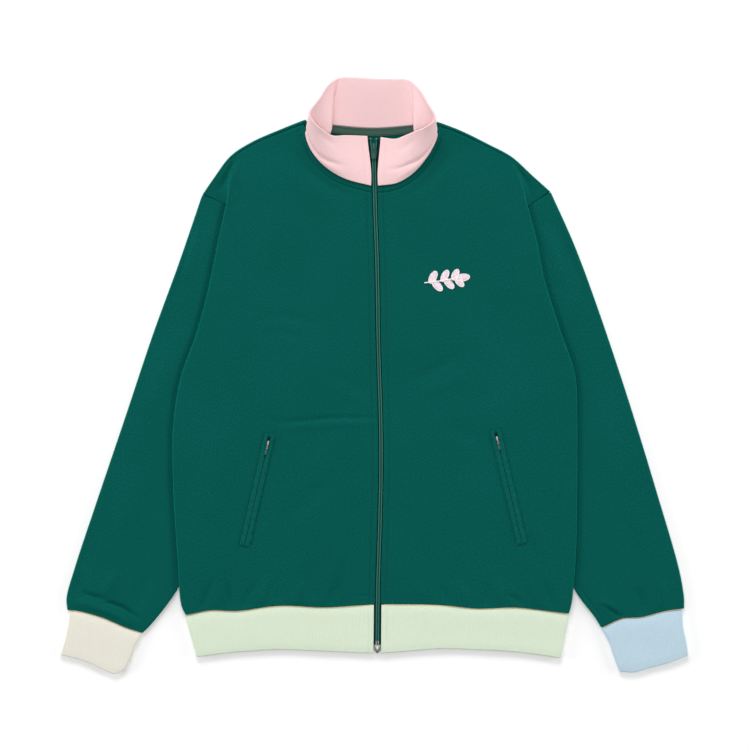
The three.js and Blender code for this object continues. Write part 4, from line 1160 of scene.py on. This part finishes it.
def band_lines(side):
    def line(points, y):
        return side_curve(side, [*points, (side["sign"] * x_at(zip_line, y) + BAND_HALF, y)])
    drop = 1
    top = [(x, y - drop - (1 if k == 0 else 0)) for k, (x, y) in enumerate(side["hem"])]
    return line(top, HEM_Y - drop), line(side["band_bottom"], BAND_BOTTOM_Y)


def band_surface():
    radius = (BAND_Z - RIB / 2) / 2
    v = np.linspace(0, 1, 34)
    fronts = {}
    corners = {}
    t = np.linspace(0, 1, 120)
    for side in SIDES:
        top, bottom = band_lines(side)
        layer = mix(top(t)[None], bottom(t)[None], v[:, None, None])
        corners[side["name"]] = layer[:, 0].copy()
        layer[..., 0] -= side["sign"] * radius * ((1 - t) ** 12)[None]
        layer[..., 2] = BAND_Z + swell(layer, BAND_WAVES)
        sink_ends(layer[..., 2], v)
        fronts[side["name"]] = layer

    def fold(side, angles):
        layer = []
        top_z = fronts[side["name"]][:, 0, 2]
        r = (top_z - RIB / 2) / 2
        for angle in angles:
            p = corners[side["name"]].copy()
            p[:, 0] -= side["sign"] * r * (1 - math.sin(angle))
            p[:, 2] = RIB / 2 + r + r * math.cos(angle)
            layer.append(p)
        return np.stack(layer, axis=1)

    s = np.linspace(0, 1, 150)
    x = mix(corners["right"][:, :1] + radius, corners["left"][:, :1] - radius, s[None])
    rear_top = REAR_TOP_Y - 6 * (2 * s - 1) ** 2
    rear_bottom = REAR_BOTTOM_Y - 11 * (2 * s - 1) ** 8
    y = mix(rear_top[None], rear_bottom[None], v[:, None])
    rear = np.stack([x, y, np.full(x.shape, RIB / 2)], axis=-1)
    down = np.linspace(0, math.pi, ROLLS + 2)[1:-1]
    return np.concatenate([fronts["right"][:, ::-1], fold(RIGHT, down), rear,
                           fold(LEFT, down[::-1]), fronts["left"]], axis=1)


sew("hem_band_rib", band_surface(), RIB, mint_rib, "mint_rib", "hem_band", "floor", nodes=["hem_band"])


# ---- Collar and neck tape ----

def collar_surface():
    seam = curve([station[0] for station in COLLAR], by_length=False)
    rim = curve([station[1] for station in COLLAR], by_length=False)
    bows = as_points([station[2] for station in COLLAR])
    stations = np.linspace(0, len(COLLAR) - 1, 300)
    t = stations / (len(COLLAR) - 1)
    h = np.linspace(0, 1, 44)[:, None, None]
    bow = np.stack([np.interp(stations, np.arange(len(COLLAR)), bows[:, k]) for k in range(3)], axis=-1)
    wall = mix(seam(t)[None], rim(t)[None], h) + bow[None] * 6.75 * h * (1 - h) ** 2
    chart = np.zeros((len(h), len(t), 3))
    spacing = 17
    height = 62
    chart[..., 0] = stations[None] * spacing
    chart[..., 1] = h[:, :, 0] * height
    push = np.zeros(chart.shape[:2])
    for line, half_width, depth in COLLAR_CREASES:
        push += crease(chart, [(s * spacing, g * height) for s, g in line], half_width, depth)
    push += 0.25 * np.sin(stations * 1.7)[None] * smooth(h[:, :, 0] * 3)
    into_neck = normals_of(wall, False)
    return wall - into_neck * push[..., None]


collar_grid = collar_surface()
sew("collar_knit", collar_grid, RIB, pink_knit, "pink_knit", "collar",
    "front_right_cloth", "front_left_cloth", "floor", nodes=["collar"])


def neck_tape_surface():
    reach = 64
    tape_z = KNIT + LAY_GAP + TAPE / 2
    edge = curve(BACK_NECK)(np.linspace(0.15, 0.87, 120))
    edge[:, 0] = np.clip(edge[:, 0], -reach, reach - 6)
    rows = []
    for drop in np.linspace(-0.7, 9.7, 14):
        row = edge.copy()
        row[:, 1] -= drop
        row[:, 2] = tape_z
        rows.append(row)
    return np.stack(rows)


tape_grid = neck_tape_surface()
sew("neck_tape_weave", tape_grid, TAPE, tape_weave, "green_tape", "neck_tape", "back_cloth",
    nodes=["neck_tape"])


# ---- Zips ----

def tooth_data(inner, outer, half_width, low, high):
    """One loop of a nylon coil, lying across the zip, fatter at its inner end."""
    stations = np.linspace(0, 1, 6)
    fat = np.array([0.62, 1.0, 0.86, 0.8, 0.8, 0.6])
    points = []
    for s, f in zip(stations, fat):
        x = mix(inner, outer, s)
        for a in np.arange(6) * math.pi / 3:
            z = (low + high) / 2 + (high - low) / 2 * f * math.sin(a)
            points.append((x, half_width * f * math.cos(a), z))
    faces = [grid_faces(6, 6, ring=True), np.array([[0, 1, 4, 5], [1, 2, 3, 4]]),
             np.array([[5, 4, 1, 0], [4, 3, 2, 1]]) + 30]
    return np.array(points), np.vstack(faces)


PIN_LENGTH = 5.5
COIL_PITCH = 1.55
COIL_STAGGER = 0.39
COIL_LEAN = 0.12


def zip_ys():
    return np.arange(ZIP_BOTTOM_Y + PIN_LENGTH + 1, ZIP_TOP_Y, COIL_PITCH)


def zip_spread(y):
    return ZIP_SPREAD * smooth((np.asarray(y) - ZIP_OPEN_Y) / ZIP_OPENING)


TAPE_LOW = NECK_Z - KNIT / 2 - 0.3 - TAPE
ZIP_CROWN = 1.5  # how far the tape stands up between the fronts' edges
for side in SIDES:
    sign = side["sign"]
    name = side["name"]
    ys = np.linspace(ZIP_BOTTOM_Y, ZIP_TOP_Y, 260)
    centre = x_at(zip_line, ys) + sign * zip_spread(ys)
    grid = []
    for out in (0.2, 0.8, 1.15, 1.5, 1.9, 2.3, 2.8, 3.8, 5.5, 8.5, 11.9):
        crown = ZIP_CROWN * smooth((2.8 - out) / 0.5)
        furrow = 0.45 * math.exp(-((out - 1.15) / 0.3) ** 2)
        z = np.full(ys.shape, TAPE_LOW + TAPE / 2 + crown - furrow)
        grid.append(np.stack([centre + sign * out, ys, z], axis=-1))
    sew(f"zip_tape_{name}_weave", np.stack(grid), TAPE, zip_weave, "green_coil", "zip_tape",
        "back_cloth", nodes=[f"zip_tape_{name}"])
    ys = zip_ys() + sign * COIL_STAGGER
    heading = np.full(ys.shape, 0.0 if sign > 0 else math.pi)
    spots = np.stack([x_at(zip_line, ys) + sign * zip_spread(ys), ys, 0 * ys], axis=-1)
    tooth = tooth_data(inner=0.0, outer=1.0, half_width=0.62, low=4.9, high=5.9)
    teeth = repeated(tooth, spots, heading + COIL_LEAN)
    fit(f"zip_coil_{name}", teeth, nylon_coil, "green_coil")

# Zip ends: retainer box with its two pins at the bottom, a stop on each tape at the top
BOX_OUTLINE = [(-4.3, -0.4), (-4.3, -6), (-1, -11), (1, -11), (4.3, -6), (4.3, -0.4)]
box_x = float(x_at(zip_line, ZIP_BOTTOM_Y))
box_parts = [
    plate_data(rounded_outline(BOX_OUTLINE), 2.7, 6.4, 0.5),
    plate_data(rounded_outline([(-2.9, -1.6), (-2.9, -5.4), (-0.6, -8.8), (0.6, -8.8), (2.9, -5.4),
                                (2.9, -1.6)]), 6.2, 6.9, 0.3),
]
for sign in (-1, 1):
    pin = [(sign * 1.35, y, 5.9) for y in np.linspace(-1.5, PIN_LENGTH, 8)]
    box_parts.append(tube_data(pin, [0.9] * 7 + [0.5], 10))
box = move(joined(box_parts), (box_x, ZIP_BOTTOM_Y, 0))
fit("zip_retainer_box", box, nickel, "zip_metal", "zip_box")

for side in SIDES:
    sign = side["sign"]
    stop_x = float(x_at(zip_line, ZIP_TOP_Y)) + sign * (ZIP_SPREAD + 1.6)
    arch = [(-1.0, 0, 3.9), (-1.0, 0, 5.6), (-0.6, 0, 6.1), (0.6, 0, 6.1), (1.0, 0, 5.6), (1.0, 0, 3.9)]
    wire = [tube_data(curve(arch)(np.linspace(0, 1, 16)) + np.array([0, y, 0]), 0.45, 8) for y in (0.6, 1.5)]
    stop = move(joined(wire), (stop_x, ZIP_TOP_Y + 0.3, 0))
    fit(f"zip_stop_{side['name']}_staple", stop, nickel, "zip_metal", f"zip_stop_{side['name']}")


# Sliders and pull tabs

def bridge_data(half_width, y, low, high, radius):
    """Two lugs either side of a pull tab's eye, joined over the top by an arch along Y."""
    parts = []
    for hand in (-1, 1):
        lug = [(hand * half_width, y - 1.2, low), (hand * half_width, y - 1.0, high - 0.5),
               (hand * half_width, y, high), (hand * half_width, y + 1.0, high - 0.5),
               (hand * half_width, y + 1.2, low)]
        parts.append(tube_data(curve(lug)(np.linspace(0, 1, 16)), radius, 8))
    return parts


def pull_data(width, length, thickness):
    """A pull tab about its eye at the origin, lying along +Y: a wire loop and a pierced tab."""
    half = width / 2
    wire = thickness * 0.42
    loop = [(0.0, -0.1, 0), (half * 0.5, 0.1, 0), (half * 0.62, 1.4, 0), (half * 0.5, 2.8, 0), (0.0, 3.1, 0),
            (-half * 0.5, 2.8, 0), (-half * 0.62, 1.4, 0), (-half * 0.5, 0.1, 0)]
    parts = [tube_data(curve([*loop, loop[0]])(np.linspace(0, 1, 29)[:-1]), wire, 8, closed=True)]
    tip = length - half
    outline = [(-half * 0.72, 2.7), (half * 0.72, 2.7), (half, 3.6)]
    outline += [(half * math.cos(a), tip + half * math.sin(a)) for a in np.linspace(0, math.pi, 13)]
    outline.append((-half, 3.6))
    parts.append(plate_data(outline, -thickness / 2, thickness / 2, thickness * 0.3))
    hole = [(half * 0.38 * math.cos(a), tip - 0.6 + half * 0.38 * math.sin(a), thickness / 2)
            for a in np.arange(16) * math.pi / 8]
    parts.append(tube_data(hole, thickness * 0.22, 8, closed=True))
    return joined(parts)


SHIELD = [(-4, 5), (-4, 1), (-3, -7), (3, -7), (4, 1), (4, 5), (0, 6)]
INNER_SHIELD = [(-2.7, 3.6), (-2.7, 1), (-2.1, -5.6), (2.1, -5.6), (2.7, 1), (2.7, 3.6), (0, 4.4)]
DIVIDER = [(-0.7, 3.2), (0.7, 3.2), (0.7, 5.2), (-0.7, 5.2)]
slider_x = float(x_at(zip_line, SLIDER_Y))
slider_parts = [
    plate_data(rounded_outline(SHIELD), SLIDER_Z - 4.6, SLIDER_Z - 3.8, 0.3),
    plate_data(rounded_outline(SHIELD), SLIDER_Z, SLIDER_Z + 1.2, 0.4),
    plate_data(rounded_outline(INNER_SHIELD), SLIDER_Z + 1.0, SLIDER_Z + 1.6, 0.3),
    plate_data(rounded_outline(DIVIDER), SLIDER_Z - 4.2, SLIDER_Z + 0.4, 0.2),
    *bridge_data(1.7, PULL_EYE, SLIDER_Z + 1.0, PULL_Z + 1.0, 0.42),
]
slider = move(joined(slider_parts), (slider_x, SLIDER_Y, 0))
fit("zip_slider_body", slider, green_paint, "green_paint", "zip_slider")
pull = move(pull_data(width=3.6, length=10.5, thickness=1.0), (slider_x, SLIDER_Y + PULL_EYE, PULL_Z))
fit("zip_pull_tab", pull, green_paint, "green_paint", "zip_pull", body="main_pull")


# ---- Pockets ----

class PocketLine:
    """The middle of a pocket's slit, from its bottom (0) to its top (1)."""

    def __init__(self, side):
        x0, y0 = side["pocket_bottom"]
        x1, y1 = side["pocket_top"]
        self.low = np.array([side["sign"] * x0, y0, 0.0])
        self.along = np.array([side["sign"] * x1, y1, 0.0]) - self.low
        self.length = float(np.linalg.norm(self.along))
        self.across = unit(np.array([self.along[1], -self.along[0], 0.0]))
        self.heading = math.atan2(self.along[1], self.along[0])
        self.ground = grounds[side["name"]]

    def at(self, t, out=0.0):
        t = np.asarray(t, float)[..., None]
        return self.low + self.along * t + self.across * np.asarray(out, float)[..., None]

    def spot(self, from_bottom, above):
        p = self.at(np.float64(from_bottom / self.length))
        return (p[0], p[1], self.ground(p[0], p[1]) + above)


def lip_surface(line, hand):
    """One lip of a pocket: a folded strip from its soft edge at the slit out to its stitched one."""
    t = np.linspace(-0.02, 1.02, 90)
    gape = mix(POCKET["slit"], POCKET["gape"], smooth((t - 0.78) / 0.14))
    grid = np.stack([line.at(t, hand * mix(gape, POCKET["width"], s)) for s in np.linspace(0, 1, 11)])
    base = np.array([[line.ground(p[0], p[1]) for p in grid[k]] for k in (0, 10)])
    s = np.linspace(0, 1, 11)[:, None]
    arch = 0.62 + 0.42 * np.sin(math.pi * (0.12 + 0.8 * s)) ** 0.8
    grid[..., 2] = mix(base[0][None], base[1][None], s) + arch
    grid[..., 2] += 0.07 * np.sin(t * 61)[None] * s + 0.05 * np.sin(t * 37 + hand)[None]
    return grid


for side in SIDES:
    name = side["name"]
    line = PocketLine(side)
    for spot, hand in (("inner", -side["sign"]), ("outer", side["sign"])):
        # the lips wear the lighter knit, a painted highlight
        sew(f"pocket_lip_{spot}_{name}_cloth", lip_surface(line, hand), LIP, lit_lip_knit, "green_knit",
            "pocket_lip", f"front_{name}_cloth", nodes=[f"pocket_lip_{spot}_{name}"])
    # the tape under the slit: real tape, dark with painted shade for the shade in the slit
    t = np.linspace(0, 1, 60)
    under = np.stack([line.at(t, out) for out in np.linspace(-3.4, 3.4, 5)])
    under[..., 2] = np.array([[line.ground(p[0], p[1]) for p in row] for row in under]) + 0.2
    sew(f"pocket_tape_{name}", under, POCKET_TAPE, pocket_tape_painted_shade, "green_coil", "pocket_tape",
        f"front_{name}_cloth")
    end = line.length - POCKET["slider_from_top"] - 10.5
    spots = [line.spot(y, 0.0) for y in np.arange(0.5, end, 1.4)]
    turn = line.heading - math.pi / 2
    tooth = tooth_data(inner=-0.75, outer=0.75, half_width=0.55, low=0.35, high=1.2)
    teeth = repeated(tooth, spots, np.full(len(spots), turn + 0.2))
    fit(f"pocket_coil_{name}_teeth", teeth, dark_nylon, "green_coil", f"pocket_coil_{name}")
    body = [plate_data(rounded_outline([(-1.9, 0), (-1.35, -10), (1.35, -10), (1.9, 0)]), 0, 1.2, 0.35),
            *bridge_data(1.3, -1.3, 1.0, 3.0, 0.34)]
    top = line.length - POCKET["slider_from_top"]
    slider = move(joined(body), line.spot(top, LAY_GAP + 0.3), turn)
    fit(f"pocket_slider_{name}_body", slider, green_paint, "green_paint", f"pocket_slider_{name}")
    low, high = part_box(f"pocket_pull_{name}")
    x, y, _ = line.spot(top - 1.3, 0.0)
    z = (low.z + high.z) / 2 / MM
    pull = move(pull_data(width=2.6, length=10.5, thickness=0.8), (x, y, z), turn)
    fit(f"pocket_pull_{name}_tab", pull, nickel, "zip_metal", f"pocket_pull_{name}",
        body=f"{name}_pocket_pull")


# ---- Chest motif ----

def leaf_data(x, y, angle, size):
    """A satin-stitched leaf: rows of thread across a domed ellipse, with a corded edge."""
    long_half, short_half = size, size * 0.48
    middle = np.array([x + size * 0.85 * math.cos(angle), y + size * 0.85 * math.sin(angle), 0])
    u = np.linspace(-1, 1, 61)
    v = np.linspace(-1, 1, 11)
    reach = np.sqrt(np.clip(1 - u ** 2, 0.0004, 1))
    grid = np.zeros((len(v), len(u), 3))
    grid[..., 0] = u[None] * long_half
    grid[..., 1] = v[:, None] * reach[None] * short_half
    dome = MOTIF["dome"] * np.sqrt(np.clip(1 - (v[:, None] ** 2), 0, 1)) * reach[None] ** 0.5
    grid[..., 2] = 0.15 + dome + 0.09 * np.cos(np.arange(61) * math.pi)[None] * (dome > 0.05)
    c, s = math.cos(angle), math.sin(angle)

    def turn(p):
        return np.stack([p[:, 0] * c - p[:, 1] * s, p[:, 0] * s + p[:, 1] * c, p[:, 2]], axis=-1)

    turned = turn(grid.reshape(-1, 3))
    around = np.arange(48) * 2 * math.pi / 48
    edge = turn(np.stack([long_half * np.cos(around) * 1.02, short_half * np.sin(around) * 1.06,
                          0 * around + 0.45], axis=-1))
    cord = tube_data(edge + middle, MOTIF["cord"], 8, closed=True)
    top = (turned + middle, grid_faces(11, 61))
    skirt = (turned * [1, 1, 0] + middle, grid_faces(11, 61)[:, ::-1])
    return joined([top, skirt]), cord


def lay_motif(part):
    """Turns and places a piece of the motif, and lays it on the left front."""
    points, faces = move(part, (MOTIF["x"], MOTIF["y"], 0), MOTIF["tilt"])
    ground = grounds["left"]
    points[:, 2] += np.array([ground(x, y) for x, y in points[:, :2]]) + 0.15
    return points, faces


leaves = [leaf_data(14, 0, 0, 9)]
for k, x in enumerate((-21, -5, 9)):
    for hand in (-1, 1):
        leaves.append(leaf_data(x + (4 if hand < 0 else 0), 0, hand * MOTIF["spread"], 8.5 - 0.5 * k))
stem_path = [(x, 0.25 * math.sin(x * 0.15), 0.6) for x in np.linspace(-29, 17, 40)]
stem = tube_data(stem_path, 0.85 + 0.12 * np.cos(np.arange(40) * math.pi), 8)
blades = lay_motif(joined([leaf for leaf, _ in leaves]))
fit("motif_leaves", blades, motif_thread, "motif_thread", "chest_motif")
cords = lay_motif(joined([stem, *[cord for _, cord in leaves]]))
fit("motif_cord", cords, motif_edge, "motif_thread")


# ---- Stitching ----

STITCH = {"length": 2.3, "pitch": 3.1, "radius": 0.3}


def stitch_row(line):
    """Stitches along a line of points in space."""
    line = np.asarray(line, float)
    length = np.concatenate([[0], np.cumsum(np.linalg.norm(np.diff(line, axis=0), axis=1))])
    at = np.arange(STITCH["pitch"] / 2, length[-1], STITCH["pitch"])
    spots = np.stack([np.interp(at, length, line[:, k]) for k in range(3)], axis=-1)
    ahead = np.stack([np.interp(at + 0.5, length, line[:, k]) for k in range(3)], axis=-1) - spots
    half = STITCH["length"] / 2
    path = [(half * s, 0, -0.22 * s * s) for s in (-1, -0.55, 0, 0.55, 1)]
    one = tube_data(path, np.array([0.5, 0.95, 1.0, 0.95, 0.5]) * STITCH["radius"], 6)
    return repeated(one, spots, np.arctan2(ahead[:, 1], ahead[:, 0]))


lines = [tape_grid[k] + np.array([0, 0, TAPE / 2 + 0.05]) for k in (3, -3)]
fit("neck_tape_topstitch", joined([stitch_row(line) for line in lines]), dark_thread, "green_tape")

collar_top = {
    "right": Ground(collar_grid[:, :COLLAR_END_COLUMNS], RIB),
    "left": Ground(collar_grid[:, -COLLAR_END_COLUMNS:], RIB),
}
for side in SIDES:
    name = side["name"]
    sign = side["sign"]
    ground = grounds[name]
    rows = []
    ys = np.linspace(NECK_Y - 3, HEM_Y + 1, 230)
    zip_side = [(zip_edge_x(side, y) + sign * TOPSTITCH_INSET["zip"], y) for y in ys]
    rows.append(stitch_row(ground.lift(zip_side, 0.08)))
    neck = front_lines(side)["neck"]
    t = np.linspace(0.03, 0.985, 90)
    outside = neck(t) + right_of(neck, t) * sign * TOPSTITCH_INSET["neck"]
    rows.append(stitch_row(ground.lift(outside, 0.08)))
    line = PocketLine(side)
    reach = POCKET["width"] + 2.0
    past = 5.2 / line.length
    ends = (-past, 1 + past)
    for hand in (-1, 1):
        rows.append(stitch_row(ground.lift(line.at(np.linspace(*ends, 60), np.full(60, hand * reach)), 0.1)))
    for t in ends:
        rows.append(stitch_row(ground.lift(line.at(np.full(12, t), np.linspace(-reach, reach, 12)), 0.1)))
    fit(f"topstitch_{name}", joined(rows), green_thread, "green_knit")

    foot_x, lean = COLLAR_STITCHING[name]
    face = [(foot_x + lean * s, mix(*COLLAR_STITCHING_YS, s)) for s in np.linspace(0, 1, 40)]
    collar_row = stitch_row(collar_top[name].lift(face, 0.02))
    fit(f"collar_topstitch_{name}", collar_row, pink_thread, "pink_knit")
    top, bottom = band_lines(side)
    run = np.linspace(0, 1, 30)[:, None]
    end_line = mix(top(1.0), bottom(1.0), run) + np.array([sign * 7, 0, 0])
    end_line[:, 2] = BAND_Z + RIB / 2 + 0.12 + dip(run[:, 0], *RIB_SEAM_FURROW)
    fit(f"band_topstitch_{name}", stitch_row(end_line[2:-1]), mint_thread, "mint_rib")


def seam_thread(name, line):
    """The tan sewing thread that shows where rib is sewn on."""
    fit(name, tube_data(line, 0.34, 6), tan_thread, "green_knit")


for side in SIDES:
    name = side["name"]
    t = np.linspace(0.006, 0.99, 160)
    top, _ = band_lines(side)
    line = top(t) + np.array([0, 0.35, 0])
    line[:, 2] = BAND_Z + RIB / 2 - 0.5
    seam_thread(f"band_seam_thread_{name}", line)
    line = side_curve(side, side["cuff_seam"])(np.linspace(0.02, 0.98, 80)) + np.array([0, -0.6, 0])
    line[:, 2] = CUFF_Z + RIB / 2 - 0.5
    seam_thread(f"cuff_seam_thread_{name}", line)


# ---- Floor, light and colour ----

FLOOR_HALF = 6.0
FLOOR_Z = -0.0002
floor_mesh = bpy.data.meshes.new("floor")
corners = [(x * FLOOR_HALF, y * FLOOR_HALF, FLOOR_Z) for x, y in ((-1, -1), (1, -1), (1, 1), (-1, 1))]
floor_mesh.from_pydata(corners, [], [(0, 1, 2, 3)])
floor = bpy.data.objects.new("floor", floor_mesh)
floor_nodes = Nodes("floor_paper")
floor_nodes.set(Base_Color=linear(FLOOR), Roughness=0.9, Specular_IOR_Level=0.1)
floor.data.materials.append(floor_nodes.material)
bpy.context.scene.collection.objects.link(floor)


def area_light(name, place, size, power):
    light = bpy.data.lights.new(name, "AREA")
    light.shape = "RECTANGLE"
    light.size, light.size_y = size
    light.energy = power
    obj = bpy.data.objects.new(name, light)
    obj.location = place
    obj.rotation_euler = (-Vector(place)).to_track_quat("-Z", "Y").to_euler()
    bpy.context.scene.collection.objects.link(obj)


area_light("side_right", (-3.3, 0.2, 0.85), size=(2.2, 1.0), power=50)
area_light("side_left", (3.3, 0.2, 0.85), size=(2.2, 1.0), power=50)
area_light("collar_end", (-0.6, 4.1, 2.45), size=(2.4, 1.5), power=140)
area_light("top", (0.0, 0.0, 3.4), size=(1.8, 1.8), power=40)
world = bpy.data.worlds.new("studio")
world.use_nodes = True
world.node_tree.nodes["Background"].inputs["Color"].default_value = (1, 1, 1, 1)
world.node_tree.nodes["Background"].inputs["Strength"].default_value = 0.3
bpy.context.scene.world = world
bpy.context.scene.view_settings.view_transform = "Standard"
